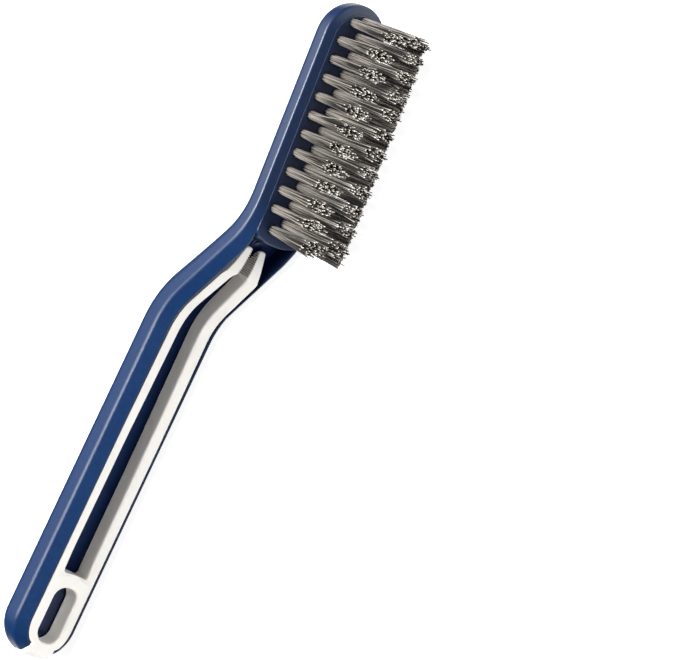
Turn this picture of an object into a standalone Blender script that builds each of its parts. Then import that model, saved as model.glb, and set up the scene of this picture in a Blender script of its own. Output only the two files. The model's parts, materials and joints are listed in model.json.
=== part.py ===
"""Crevice brush with a tweezer clipped into its handle.

The brush frame has X from the handle's end toward the head, Y across the width and Z
toward the bristles, with Z = 0 on the handle's back. The whole brush lies on its side
in the world, on the flat of its right wall. All lengths are in metres.

A shape is drawn flat, with s along the brush, y across it and z square to it, and is
then bent along the spine, which is the side view of the brush's widest line.
"""
import math

import bmesh
import bpy
from mathutils import Matrix, Vector

# Spine
HANDLE_LENGTH = 0.1257
NECK_LENGTH = 0.0438
HEAD_LENGTH = 0.0801
NECK_SLOPE = math.radians(31.3)
HEAD_SLOPE = math.radians(-5.9)
NECK_BEND_RADIUS = 0.026
HEAD_BEND_RADIUS = 0.031

# Body section: the ridge is the widest line, with the wall behind it and the bevel before it
HALF_WIDTH = 0.0128
HANDLE_WALL_HEIGHT = 0.0088
HEAD_WALL_HEIGHT = 0.0074
BACK_EDGE_RADIUS = 0.0040
HANDLE_BEVEL_RUN = 0.0034
HANDLE_BEVEL_RISE = 0.0035
HANDLE_END_RUN = 0.0024
HEAD_BEVEL_RUN = 0.0029
HEAD_BEVEL_RISE = 0.0009
RIM_LAND = 0.0005

# The section changes from the handle's to the head's around the corner of neck and head
WALL_CHANGE_BEFORE = 0.0509
WALL_CHANGE_LENGTH = 0.0430
BEVEL_CHANGE_BEFORE = 0.0084
BEVEL_CHANGE_LENGTH = 0.0190

# Trough, its open notch at the handle's end, and the boss between the jaws
TROUGH_DEPTH = 0.0070
NOTCH_HALF_WIDTH = 0.0051
TROUGH_PAST_CRESCENT = 0.0035
BOSS_RADIUS = 0.0010
BOSS_HEIGHT = 0.0016
BOSS_BEFORE_CRESCENT = 0.0038

# Bristle plateau, from the head's end to a crescent a little way into the neck
PLATEAU_PAST_HEAD = 0.0047
PLATEAU_LENGTH = HEAD_LENGTH + PLATEAU_PAST_HEAD
PLATEAU_SETBACK = 0.0003
PLATEAU_STEP = 0.00025
PLATEAU_ROOT = 0.0045
PLATEAU_FOOT = 0.0080
PLATEAU_FOOT_LENGTH = 0.0090
CRESCENT_RADIUS = 0.0240

# Hanging slot through the tweezer's base and the trough's floor
SLOT_FROM_END = 0.0066
SLOT_LENGTH = 0.0197
SLOT_WIDTH = 0.0098
SLOT_END_FLAT = 0.0014
SLOT_CORNER_RADIUS = (SLOT_WIDTH - SLOT_END_FLAT) / 2

# Tweezer
SEAT_GAP = 0.0003
SIDE_GAP = 0.0003
HINGE_GAP = 0.0003
TAB_FROM_END = 0.0003
TAB_FRONT_FROM_END = 0.0020
TAB_NOSE_RADIUS = 0.0016
BASE_BAND = 0.0049
BASE_LENGTH = SLOT_FROM_END + SLOT_LENGTH + BASE_BAND
BASE_EDGE_RADIUS = 0.0290
TWEEZER_HALF_WIDTH = HALF_WIDTH - HANDLE_BEVEL_RUN - RIM_LAND - SIDE_GAP
TWEEZER_END_INSET = HANDLE_END_RUN + RIM_LAND + SIDE_GAP
ARM_ROOT_THICKNESS = 0.0037
ARM_MIDDLE_THICKNESS = 0.0040
ARM_NECK_THICKNESS = 0.0043
ARM_NECK_INSET = 0.0001
KINK_THICKNESS = 0.00465
KINK_INSET = 0.00075
JAW_ROOT_INSET = 0.0014
JAW_ROOT_INNER = 0.0022
JAW_TIP_WIDTH = 0.0028
JAW_TIP_INNER = 0.0014
JAW_TIP_RADIUS = 0.0013
JAW_LENGTH = 0.0090
JAW_BEFORE_CRESCENT = 0.0048
JAW_SINK = 0.0050
JAW_SINK_LEAD = 0.0010
KINK_LENGTH = 0.0016
TOOTH_DEPTH = 0.0003
TOOTH_COUNT = 12
HINGE_FROM_ROOT = 0.0010

# Tufts: a bundle of filaments folded over a flat anchor in a blind hole
HOLE_RADIUS = 0.0016
HOLE_DEPTH = 0.0052
TUFT_CLEARANCE = 0.0003
PLUG_RADIUS = HOLE_RADIUS - TUFT_CLEARANCE
ROW_SPACING = 0.0065
TUFTS_PER_ROW = 12
SIDE_ROW_FIRST = 0.01355
SIDE_ROW_BEFORE_CRESCENT = 0.01194
SIDE_LAST_BEFORE_CRESCENT = 0.0051
TUFT_PITCH = (PLATEAU_LENGTH - SIDE_ROW_BEFORE_CRESCENT - SIDE_ROW_FIRST) / (TUFTS_PER_ROW - 3)
CENTRE_ROW_FIRST = 0.0105
SIDE_END_TUFT = 0.0066
CENTRE_END_TUFT = 0.0050
LAST_TUFT_LEAN = math.radians(4)
STRAND_RADIUS = 0.00030
STRAND_TIP_RADIUS = 0.00036
STRAND_SIDES = 3
STRAND_ROOT_DEPTH = 0.0008
INNER_RING_COUNT = 3
OUTER_RING_COUNT = 9
INNER_RING_RADIUS = 0.00042
OUTER_RING_RADIUS = PLUG_RADIUS - STRAND_RADIUS

# The tips spread along the row by a share of the pitch, and across it by shares of the row
# spacing. The end tufts of the side rows stand nearer to the middle line and lean out more.
TIP_ALONG_SHARE = 0.28
TIP_ACROSS_SHARE = 0.53
TIP_SHIFT_SHARE = 0.215
END_FOOT_SHARE = 0.615
END_TIP_ACROSS_SHARE = 0.36
END_TIP_SHIFT_SHARE = 0.37

# The trim is a ridge over the brush's middle line and falls away to both sides
TRIM_PEAK = 0.0320
TRIM_FALL_SHARE = 0.95

# Anchor
ANCHOR_CLEARANCE = 0.00015
ANCHOR_LENGTH = 2 * (HOLE_RADIUS - ANCHOR_CLEARANCE)
ANCHOR_HEIGHT = 0.0015
ANCHOR_THICKNESS = 0.0004
ANCHOR_LIFT = 0.0004

# Cutters run this far past what they cut
OVERRUN = 0.0060

# Facets
QUARTER_STEPS = 6
BEND_STEPS = 6
BACK_EDGE_STEPS = 3
CRESCENT_STEPS = 5
HOLE_SIDES = 12
PLUG_SIDES = 10


def clear_scene():
    for item in list(bpy.data.objects):
        bpy.data.objects.remove(item, do_unlink=True)


def collection(name):
    made = bpy.data.collections.new(name)
    bpy.context.scene.collection.children.link(made)
    return made


def material(name, color, roughness, metallic=0.0):
    made = bpy.data.materials.new(name)
    made.use_nodes = True
    made.diffuse_color = (*color, 1.0)
    shader = made.node_tree.nodes["Principled BSDF"]
    shader.inputs["Base Color"].default_value = (*color, 1.0)
    shader.inputs["Roughness"].default_value = roughness
    shader.inputs["Metallic"].default_value = metallic
    return made


# The spine

def tangent_length(radius, turn):
    return radius * math.tan(abs(turn) / 2)


NECK_TANGENT = tangent_length(NECK_BEND_RADIUS, NECK_SLOPE)
HEAD_TURN = HEAD_SLOPE - NECK_SLOPE
HEAD_TANGENT = tangent_length(HEAD_BEND_RADIUS, HEAD_TURN)
# Each run is its length and the angle through which it turns
RUNS = (
    (HANDLE_LENGTH - NECK_TANGENT, 0),
    (NECK_BEND_RADIUS * NECK_SLOPE, NECK_SLOPE),
    (NECK_LENGTH - NECK_TANGENT - HEAD_TANGENT, 0),
    (HEAD_BEND_RADIUS * abs(HEAD_TURN), HEAD_TURN),
    (HEAD_LENGTH - HEAD_TANGENT, 0),
)
RUN_ENDS = [sum(length for length, turn in RUNS[:count + 1]) for count in range(len(RUNS))]
BRUSH_LENGTH = RUN_ENDS[-1]
HEAD_CORNER = BRUSH_LENGTH - HEAD_LENGTH
CRESCENT_PLACE = BRUSH_LENGTH - PLATEAU_LENGTH


def spine(s):
    """The spine's x, z and slope at the distance s from the handle's end."""
    x, z, slope, left = 0.0, HANDLE_WALL_HEIGHT, 0.0, s
    for number, (length, turn) in enumerate(RUNS):
        here = left if number == len(RUNS) - 1 else min(left, length)
        if turn:
            angle = turn * here / length
            radius = length / turn
            x += radius * (math.sin(slope + angle) - math.sin(slope))
            z += radius * (math.cos(slope) - math.cos(slope + angle))
            slope += angle
        else:
            x += here * math.cos(slope)
            z += here * math.sin(slope)
        left -= here
        if left <= 0:
            break
    return x, z, slope


def bent(s, y, z):
    """A point of the flat drawing, bent along the spine."""
    x, height, slope = spine(s)
    return Vector((x - z * math.sin(slope), y, height + z * math.cos(slope)))


HEAD_END_X, HEAD_END_Z, _ = spine(BRUSH_LENGTH)


def on_head(t, y, z):
    """A point on the head's straight line, at the distance t from the head's end."""
    x = HEAD_END_X - t * math.cos(HEAD_SLOPE) - z * math.sin(HEAD_SLOPE)
    return Vector((x, y, HEAD_END_Z - t * math.sin(HEAD_SLOPE) + z * math.cos(HEAD_SLOPE)))


def smooth_share(value, start, end):
    share = min(max((value - start) / (end - start), 0.0), 1.0)
    return share * share * (3 - 2 * share)


def head_share(s):
    """0 in the handle and 1 in the head."""
    start = HEAD_CORNER - BEVEL_CHANGE_BEFORE
    return smooth_share(s, start, start + BEVEL_CHANGE_LENGTH)


def between(low, high, share):
    return low + (high - low) * share


def bevel_run(s):
    return between(HANDLE_BEVEL_RUN, HEAD_BEVEL_RUN, head_share(s))


def bevel_rise(s):
    return between(HANDLE_BEVEL_RISE, HEAD_BEVEL_RISE, head_share(s))


def wall_height(s):
    start = HEAD_CORNER - WALL_CHANGE_BEFORE
    share = smooth_share(s, start, start + WALL_CHANGE_LENGTH)
    return between(HANDLE_WALL_HEIGHT, HEAD_WALL_HEIGHT, share)


def trough_half_width(s):
    return HALF_WIDTH - bevel_run(s) - RIM_LAND


def floor_level(s):
    return bevel_rise(s) - TROUGH_DEPTH


def stations(start, end):
    """Places between two distances where a bent shape needs a cross-section."""
    wanted = []
    begin = 0.0
    for (length, turn), finish in zip(RUNS, RUN_ENDS):
        steps = BEND_STEPS if turn else 2
        wanted += [begin + length * step / steps for step in range(steps)]
        begin = finish
    change_start = HEAD_CORNER - BEVEL_CHANGE_BEFORE
    change_step = BEVEL_CHANGE_LENGTH / BEND_STEPS
    wanted += [change_start + change_step * step for step in range(BEND_STEPS + 1)]
    wanted.sort()
    spacing = change_step / 3
    found = [start]
    for place in wanted:
        if place > found[-1] + spacing and place < end - spacing:
            found.append(place)
    return found + [end]


# Meshes

def new_object(name, mesh_data, place, look=None, helper=False):
    made = bpy.data.objects.new(name, mesh_data)
    place.objects.link(made)
    if look is not None:
        mesh_data.materials.append(look)
    if helper:
        made.hide_render = True
        made.display_type = "WIRE"
    return made


def mesh_of(name, shape):
    bmesh.ops.recalc_face_normals(shape, faces=shape.faces)
    made = bpy.data.meshes.new(name)
    shape.to_mesh(made)
    shape.free()
    return made


def loft(name, left_rings, right_rings):
    """A closed solid through rings of equal count, each a left edge and a right edge with
    matching points. Strips from edge to edge close the first ring and the last."""
    shape = bmesh.new()
    rings = []
    for left, right in zip(left_rings, right_rings):
        rings.append(([shape.verts.new(point) for point in left],
                      [shape.verts.new(point) for point in right]))
    count = len(left_rings[0])
    for low, high in zip(rings[:-1], rings[1:]):
        low_loop = low[0] + low[1][::-1]
        high_loop = high[0] + high[1][::-1]
        for here in range(2 * count):
            after = (here + 1) % (2 * count)
            shape.faces.new((low_loop[here], low_loop[after], high_loop[after], high_loop[here]))
    for left, right in (rings[0], rings[-1]):
        for here in range(count - 1):
            shape.faces.new((left[here], left[here + 1], right[here + 1], right[here]))
    return mesh_of(name, shape)


def slab(name, left_edge, right_edge, levels, place_point=bent):
    """A plate between two edges of (s, y) points. Each level gives z for a distance s."""
    left_rings = [[place_point(s, y, level(s)) for s, y in left_edge] for level in levels]
    right_rings = [[place_point(s, y, level(s)) for s, y in right_edge] for level in levels]
    return loft(name, left_rings, right_rings)


def mirrored(edge):
    return [(s, -y) for s, y in edge]


def mirrored_rings(rings):
    return [[Vector((point.x, -point.y, point.z)) for point in ring] for ring in rings]


def cut(target, cutter, operation="DIFFERENCE"):
    change = target.modifiers.new(cutter.name, "BOOLEAN")
    change.operation = operation
    change.object = cutter
    change.solver = "EXACT"


def shade(target, angle=math.radians(35)):
    target.data.shade_smooth()
    target.data.set_sharp_from_angle(angle=angle)


# Brush body

def quarter_angles():
    """Angles over a quarter circle, from the nose to the side, without its two ends."""
    step = math.pi / 2 / QUARTER_STEPS
    return [step * (number + 0.5) for number in range(QUARTER_STEPS)]


def round_end(end_inset, half_width, angle):
    """A point of the handle's round end, an arc that is drawn in by an inset on the middle line."""
    return HALF_WIDTH - (HALF_WIDTH - end_inset) * math.cos(angle), half_width * math.sin(angle)


def body_edge(inset, end_inset):
    """The left edge of the body's outline, drawn in by an inset that may follow s."""
    edge = [round_end(end_inset, HALF_WIDTH - inset(0), angle) for angle in quarter_angles()]
    for s in stations(HALF_WIDTH, BRUSH_LENGTH - HALF_WIDTH):
        edge.append((s, HALF_WIDTH - inset(s)))
    for angle in quarter_angles()[::-1]:
        radius = HALF_WIDTH - inset(BRUSH_LENGTH)
        edge.append((BRUSH_LENGTH - HALF_WIDTH + radius * math.cos(angle), radius * math.sin(angle)))
    return edge


def body_blank():
    """The outside of the brush with no trough: back edge, wall, ridge and bevel."""
    rings = []
    for step in range(BACK_EDGE_STEPS + 1):
        angle = math.pi / 2 * step / BACK_EDGE_STEPS
        inset = BACK_EDGE_RADIUS * (1 - math.sin(angle))
        lift = BACK_EDGE_RADIUS * (1 - math.cos(angle))
        rings.append((lambda s, value=inset: value, inset, lambda s, value=lift: value - wall_height(s)))
    rings.append((lambda s: 0.0, 0.0, lambda s: 0.0))
    rings.append((bevel_run, HANDLE_END_RUN, bevel_rise))
    left_rings = []
    for inset, end_inset, level in rings:
        left_rings.append([bent(s, y, level(s)) for s, y in body_edge(inset, end_inset)])
    return loft("brush_body", left_rings, mirrored_rings(left_rings))


def trough_edge():
    """The left edge of the trough, from its notch to a little past the crescent."""
    half_width = trough_half_width(0)
    notch_angle = math.asin(NOTCH_HALF_WIDTH / half_width)
    edge = [(-OVERRUN, NOTCH_HALF_WIDTH)]
    for step in range(QUARTER_STEPS):
        angle = notch_angle + (math.pi / 2 - notch_angle) * step / QUARTER_STEPS
        edge.append(round_end(HANDLE_END_RUN + RIM_LAND, half_width, angle))
    end = CRESCENT_PLACE + TROUGH_PAST_CRESCENT
    edge += [(s, trough_half_width(s)) for s in stations(HALF_WIDTH, end)]
    return edge


def trough_cutter(place):
    edge = trough_edge()
    levels = (floor_level, lambda s: bevel_rise(s) + OVERRUN)
    made = slab("trough_cutter", edge, mirrored(edge), levels)
    return new_object("trough_cutter", made, place, helper=True)


def plateau_edge():
    """The left edge of the plateau, as (t, y) from the crescent's middle to the head's end."""
    half_width = HALF_WIDTH - HEAD_BEVEL_RUN - PLATEAU_SETBACK
    edge = []
    for step in range(CRESCENT_STEPS + 1):
        y = half_width * (step + 0.5) / (CRESCENT_STEPS + 0.5)
        rise = CRESCENT_RADIUS - math.sqrt(CRESCENT_RADIUS ** 2 - y ** 2)
        edge.append((PLATEAU_LENGTH - rise, y))
    for angle in quarter_angles()[::-1]:
        edge.append((HALF_WIDTH - half_width * math.cos(angle), half_width * math.sin(angle)))
    return edge


def plateau_bottom(t):
    foot_start = PLATEAU_LENGTH - PLATEAU_FOOT_LENGTH
    return -between(PLATEAU_ROOT, PLATEAU_FOOT, smooth_share(t, foot_start, PLATEAU_LENGTH))


FIELD_LEVEL = HEAD_BEVEL_RISE + PLATEAU_STEP


def plateau(place):
    edge = plateau_edge()
    levels = (plateau_bottom, lambda t: FIELD_LEVEL)
    made = slab("plateau", edge, mirrored(edge), levels, place_point=on_head)
    return new_object("plateau", made, place, helper=True)


def boss(place):
    """A low round boss on the trough's floor, between the jaws' tips and the crescent."""
    s = CRESCENT_PLACE - BOSS_BEFORE_CRESCENT
    shape = bmesh.new()
    turn = Matrix.Rotation(-spine(s)[2], 4, "Y")
    bmesh.ops.create_cone(shape, cap_ends=True, segments=HOLE_SIDES, radius1=BOSS_RADIUS, radius2=BOSS_RADIUS,
                          depth=2 * BOSS_HEIGHT, matrix=Matrix.Translation(bent(s, 0, floor_level(s))) @ turn)
    return new_object("boss", mesh_of("boss", shape), place, helper=True)


def slot_edge():
    """The left edge of the hanging slot, a rectangle with rounded corners."""
    half_width = SLOT_WIDTH / 2
    flat = half_width - SLOT_CORNER_RADIUS
    near = SLOT_FROM_END + SLOT_CORNER_RADIUS
    far = SLOT_FROM_END + SLOT_LENGTH - SLOT_CORNER_RADIUS
    steps = BACK_EDGE_STEPS + 1
    corner = [math.pi / 2 * step / steps for step in range(steps + 1)]
    edge = [(near - SLOT_CORNER_RADIUS * math.cos(angle), flat + SLOT_CORNER_RADIUS * math.sin(angle))
            for angle in corner]
    edge += [(far + SLOT_CORNER_RADIUS * math.cos(angle), flat + SLOT_CORNER_RADIUS * math.sin(angle))
             for angle in corner[::-1]]
    return edge


def slot_cutter(place):
    edge = slot_edge()
    levels = (lambda s: -wall_height(s) - OVERRUN, lambda s: bevel_rise(s) + OVERRUN)
    made = slab("slot_cutter", edge, mirrored(edge), levels)
    return new_object("slot_cutter", made, place, helper=True)


# Tufts

def row_places(side):
    """(t, y, lean) of each tuft in the left (1), centre (0) or right (-1) row, from the head's end."""
    if side == 0:
        places = [(CENTRE_END_TUFT, 0.0, 0.0)]
        places += [(CENTRE_ROW_FIRST + TUFT_PITCH * number, 0.0, 0.0) for number in range(TUFTS_PER_ROW - 1)]
        return places
    end_foot = side * END_FOOT_SHARE * ROW_SPACING
    places = [(SIDE_END_TUFT, end_foot, 0.0)]
    places += [(SIDE_ROW_FIRST + TUFT_PITCH * number, side * ROW_SPACING, 0.0)
               for number in range(TUFTS_PER_ROW - 2)]
    places.append((PLATEAU_LENGTH - SIDE_LAST_BEFORE_CRESCENT, end_foot, -LAST_TUFT_LEAN))
    return places


def tuft_frame(t, y, lean):
    """Where a tuft stands in the brush frame: on the plateau, square to it or leaning."""
    turn = Matrix.Rotation(-HEAD_SLOPE + lean, 4, "Y")
    return Matrix.Translation(on_head(t, y, FIELD_LEVEL)) @ turn


def hole_cutters(place):
    """All the blind holes, as one cutter."""
    shape = bmesh.new()
    for side in (1, 0, -1):
        for t, y, lean in row_places(side):
            middle = Matrix.Translation((0, 0, (OVERRUN - HOLE_DEPTH) / 2))
            bmesh.ops.create_cone(shape, cap_ends=True, segments=HOLE_SIDES, radius1=HOLE_RADIUS,
                                  radius2=HOLE_RADIUS, depth=HOLE_DEPTH + OVERRUN,
                                  matrix=tuft_frame(t, y, lean) @ middle)
    return new_object("hole_cutters", mesh_of("hole_cutters", shape), place, helper=True)


def strand_roots():
    """(x, y) where each strand leaves the plug, on two rings."""
    roots = []
    for count, radius in ((INNER_RING_COUNT, INNER_RING_RADIUS), (OUTER_RING_COUNT, OUTER_RING_RADIUS)):
        for number in range(count):
            angle = 2 * math.pi * (number + 0.5) / count
            roots.append((radius * math.cos(angle), radius * math.sin(angle)))
    return roots


def add_strand(shape, root, tip):
    """A straight strand of few sides between two points, with both ends level."""
    rings = []
    for centre, radius in ((root, STRAND_RADIUS), (tip, STRAND_TIP_RADIUS)):
        ring = []
        for number in range(STRAND_SIDES):
            angle = 2 * math.pi * number / STRAND_SIDES
            corner = Vector((radius * math.cos(angle), radius * math.sin(angle), 0))
            ring.append(shape.verts.new(centre + corner))
        rings.append(ring)
    for number in range(STRAND_SIDES):
        after = (number + 1) % STRAND_SIDES
        shape.faces.new((rings[0][number], rings[0][after], rings[1][after], rings[1][number]))
    shape.faces.new(rings[0][::-1])
    shape.faces.new(rings[1])


def tuft_mesh(name, foot, shift, spread, place):
    """One tuft in its own frame: plug, anchor and diverging strands joined in one solid.
    The foot is its distance from the middle line, the shift moves the tips across, and the
    spread is how far the outermost tips then reach to each side."""
    strands = bmesh.new()
    for x, y in strand_roots():
        along = x / OUTER_RING_RADIUS * TIP_ALONG_SHARE * TUFT_PITCH
        across = y / OUTER_RING_RADIUS * spread + shift
        height = TRIM_PEAK - TRIM_FALL_SHARE * abs(foot + across)
        add_strand(strands, Vector((x, y, -STRAND_ROOT_DEPTH)), Vector((along, across, height)))
    strand_body = new_object(name + "_strands", mesh_of(name + "_strands", strands), place, helper=True)

    plug_depth = HOLE_DEPTH - TUFT_CLEARANCE
    plug = bmesh.new()
    bmesh.ops.create_cone(plug, cap_ends=True, segments=PLUG_SIDES, radius1=PLUG_RADIUS,
                          radius2=PLUG_RADIUS, depth=plug_depth,
                          matrix=Matrix.Translation((0, 0, -plug_depth / 2)))
    plug_body = new_object(name + "_plug", mesh_of(name + "_plug", plug), place, helper=True)

    anchor = bmesh.new()
    anchor_size = Matrix.Diagonal((ANCHOR_THICKNESS, ANCHOR_LENGTH, ANCHOR_HEIGHT, 1))
    anchor_middle = ANCHOR_LIFT + ANCHOR_HEIGHT / 2 - plug_depth
    bmesh.ops.create_cube(anchor, size=1, matrix=Matrix.Translation((0, 0, anchor_middle)) @ anchor_size)
    anchor_body = new_object(name + "_anchor", mesh_of(name + "_anchor", anchor), place, helper=True)

    cut(plug_body, anchor_body, "UNION")
    cut(plug_body, strand_body, "UNION")
    bpy.context.view_layer.update()
    graph = bpy.context.evaluated_depsgraph_get()
    joined = bpy.data.meshes.new_from_object(plug_body.evaluated_get(graph))
    joined.name = name
    for helper in (plug_body, anchor_body, strand_body):
        bpy.data.objects.remove(helper, do_unlink=True)
    return joined


def make_tufts(parts, helpers, frame, bristle):
    for label, side in (("left", 1), ("centre", 0), ("right", -1)):
        foot = side * ROW_SPACING
        row_mesh = tuft_mesh("tuft_" + label, foot, foot * TIP_SHIFT_SHARE,
                             ROW_SPACING * TIP_ACROSS_SHARE, helpers)
        end_mesh = row_mesh
        if side:
            end_mesh = tuft_mesh("tuft_end_" + label, foot * END_FOOT_SHARE, foot * END_TIP_SHIFT_SHARE,
                                 ROW_SPACING * END_TIP_ACROSS_SHARE, helpers)
        for shared in {row_mesh, end_mesh}:
            shared.materials.append(bristle)
        for number, (t, y, lean) in enumerate(row_places(side), start=1):
            shared = end_mesh if number in (1, TUFTS_PER_ROW) else row_mesh
            tuft = new_object(f"tuft_{label}_{number:02d}", shared, parts)
            tuft.parent = frame
            tuft.matrix_basis = tuft_frame(t, y, lean)


def make_body(parts, helpers, frame, blue):
    body = new_object("brush_body", body_blank(), parts, blue)
    cut(body, trough_cutter(helpers))
    cut(body, plateau(helpers), "UNION")
    cut(body, boss(helpers), "UNION")
    cut(body, hole_cutters(helpers))
    shade(body)
    body.parent = frame
    return body


# Tweezer

ARM_ROOT_INNER = TWEEZER_HALF_WIDTH - ARM_ROOT_THICKNESS
JAW_END = CRESCENT_PLACE - JAW_BEFORE_CRESCENT
JAW_START = JAW_END - JAW_LENGTH


def base_end_at(y):
    """The base's edge toward the head is an arc, highest on the middle line."""
    return BASE_LENGTH - BASE_EDGE_RADIUS + math.sqrt(BASE_EDGE_RADIUS ** 2 - y ** 2)


def base_edge(tab_start):
    """The left edge of the base: the tab's nose, the round shoulder, the side and the end arc."""
    tab_half_width = NOTCH_HALF_WIDTH - SIDE_GAP
    nose = [math.pi / 2 * (step + 0.5) / BACK_EDGE_STEPS for step in range(BACK_EDGE_STEPS)]
    edge = [(tab_start + TAB_NOSE_RADIUS * (1 - math.cos(angle)),
             tab_half_width - TAB_NOSE_RADIUS * (1 - math.sin(angle))) for angle in nose]
    shoulder = math.asin(tab_half_width / TWEEZER_HALF_WIDTH)
    for step in range(QUARTER_STEPS + 1):
        angle = shoulder + (math.pi / 2 - shoulder) * step / QUARTER_STEPS
        edge.append(round_end(TWEEZER_END_INSET, TWEEZER_HALF_WIDTH, angle))
    for step in range(CRESCENT_STEPS):
        y = TWEEZER_HALF_WIDTH * (1 - step / CRESCENT_STEPS)
        edge.append((base_end_at(y), y))
    return edge


def tweezer_bottom(s):
    return floor_level(s) + SEAT_GAP


def tweezer_top(s):
    """The front stays level with the rim and sinks toward the jaws' tips."""
    sink = JAW_SINK * min(max((s - JAW_START + JAW_SINK_LEAD) / (JAW_LENGTH + JAW_SINK_LEAD), 0.0), 1.0)
    return bevel_rise(s) - sink


def half_width_table():
    """(s, outer, inner) of an arm from its root to its tip."""
    root = base_end_at(TWEEZER_HALF_WIDTH) + HINGE_GAP
    neck = RUN_ENDS[1]
    neck_outer = TWEEZER_HALF_WIDTH - ARM_NECK_INSET
    kink_outer = TWEEZER_HALF_WIDTH - KINK_INSET
    return (
        (root, TWEEZER_HALF_WIDTH, ARM_ROOT_INNER),
        ((root + neck) / 2, TWEEZER_HALF_WIDTH, TWEEZER_HALF_WIDTH - ARM_MIDDLE_THICKNESS),
        (neck, neck_outer, neck_outer - ARM_NECK_THICKNESS),
        (JAW_START - KINK_LENGTH, kink_outer, kink_outer - KINK_THICKNESS),
        (JAW_START, TWEEZER_HALF_WIDTH - JAW_ROOT_INSET, JAW_ROOT_INNER),
        (JAW_END, JAW_TIP_INNER + JAW_TIP_WIDTH, JAW_TIP_INNER),
    )


def arm_half_widths(s):
    """The arm's outer and inner distance from the middle line."""
    table = half_width_table()
    for (start, outer_start, inner_start), (end, outer_end, inner_end) in zip(table[:-1], table[1:]):
        if s <= end:
            share = max((s - start) / (end - start), 0.0)
            return between(outer_start, outer_end, share), between(inner_start, inner_end, share)
    return table[-1][1:]


def arm_edges():
    """The outer and inner edges of the left arm, with matching points."""
    outer_root = base_end_at(TWEEZER_HALF_WIDTH) + HINGE_GAP
    inner_root = base_end_at(ARM_ROOT_INNER) + HINGE_GAP
    outer, inner = [(outer_root, TWEEZER_HALF_WIDTH)], [(inner_root, ARM_ROOT_INNER)]
    corners = [place for place, _, _ in half_width_table()[1:-2]]
    gap = KINK_LENGTH / 2
    places = [s for s in stations(inner_root, JAW_START)[1:-1] if all(abs(s - c) > gap for c in corners)]
    for s in sorted(places + corners):
        half = arm_half_widths(s)
        outer.append((s, half[0]))
        inner.append((s, half[1]))
    teeth_length = JAW_LENGTH - JAW_TIP_RADIUS
    for number in range(2 * TOOTH_COUNT + 1):
        s = JAW_START + teeth_length * number / (2 * TOOTH_COUNT)
        half = arm_half_widths(s)
        outer.append((s, half[0]))
        inner.append((s, half[1] + TOOTH_DEPTH * (number % 2)))
    end_outer, end_inner = arm_half_widths(JAW_END - JAW_TIP_RADIUS)
    middle = (end_outer + end_inner) / 2
    for number in range(1, BACK_EDGE_STEPS + 1):
        angle = math.pi / 2 * number / (BACK_EDGE_STEPS + 1)
        s = JAW_END - JAW_TIP_RADIUS * (1 - math.sin(angle))
        outer.append((s, middle + (end_outer - middle) * math.cos(angle)))
        inner.append((s, middle + (end_inner - middle) * math.cos(angle)))
    return outer, inner


def hinge_point():
    """Where the left arm bends from the base, in the brush frame."""
    y = (TWEEZER_HALF_WIDTH + ARM_ROOT_INNER) / 2
    s = base_end_at(y) + HINGE_FROM_ROOT
    return bent(s, y, (tweezer_bottom(s) + tweezer_top(s)) / 2)


def make_tweezer(parts, helpers, frame, white):
    layers = (
        (TAB_FROM_END, tweezer_bottom),
        (TAB_FROM_END, lambda s: 0.0),
        (TAB_FRONT_FROM_END, tweezer_top),
    )
    left_rings = [[bent(s, y, level(s)) for s, y in base_edge(start)] for start, level in layers]
    base_mesh = loft("tweezer_base", left_rings, mirrored_rings(left_rings))
    seat = bent(SLOT_FROM_END + SLOT_LENGTH / 2, 0, tweezer_bottom(0))
    base_mesh.transform(Matrix.Translation(-seat))
    base = new_object("tweezer_base", base_mesh, parts, white)
    base.location = seat
    base.parent = frame
    shade(base)
    outer, inner = arm_edges()
    for label, side in (("left", 1), ("right", -1)):
        name = "tweezer_arm_" + label
        edges = [[(s, side * y) for s, y in edge] for edge in (outer, inner)]
        arm_mesh = slab(name, *edges, (tweezer_bottom, tweezer_top))
        hinge = hinge_point()
        hinge.y *= side
        arm_mesh.transform(Matrix.Translation(-hinge))
        arm = new_object(name, arm_mesh, parts, white)
        arm.location = hinge - seat
        arm.parent = base
        shade(arm)
    return base


def stand_on_floor(parts, frame):
    """Lay the brush on its right wall, with the origin at the bottom centre of its box."""
    bpy.context.view_layer.update()
    graph = bpy.context.evaluated_depsgraph_get()
    points = []
    for item in parts.objects:
        evaluated = item.evaluated_get(graph)
        mesh_data = evaluated.to_mesh()
        points += [evaluated.matrix_world @ vert.co for vert in mesh_data.vertices]
        evaluated.to_mesh_clear()
    low = Vector([min(point[axis] for point in points) for axis in range(3)])
    high = Vector([max(point[axis] for point in points) for axis in range(3)])
    frame.location = (-(low.x + high.x) / 2, -(low.y + high.y) / 2, -low.z)


def main():
    clear_scene()
    parts = collection("crevice_brush")
    helpers = collection("cutters")
    blue = material("blue_plastic", (0.012, 0.050, 0.190), 0.28)
    white = material("white_plastic", (0.82, 0.80, 0.76), 0.38)
    bristle = material("grey_bristle", (0.27, 0.25, 0.23), 0.55)

    frame = bpy.data.objects.new("brush_frame", None)
    helpers.objects.link(frame)
    frame.rotation_euler = (math.pi / 2, 0, 0)

    slot = slot_cutter(helpers)
    body = make_body(parts, helpers, frame, blue)
    base = make_tweezer(parts, helpers, frame, white)
    make_tufts(parts, helpers, frame, bristle)
    for helper in helpers.objects:
        if helper is not frame:
            helper.parent = frame
    cut(body, slot)
    cut(base, slot)
    stand_on_floor(parts, frame)


main()
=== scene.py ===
"""The finished look of a crevice brush with a tweezer clipped into its handle.

The brush frame has X from the handle's end toward the head, Y across the width and Z
toward the bristles, with Z = 0 on the handle's back. Shapes are drawn flat, with s along
the brush, y across it and z square to it, then bent along the spine and laid in place.
"""

import json
import math
import random

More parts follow.
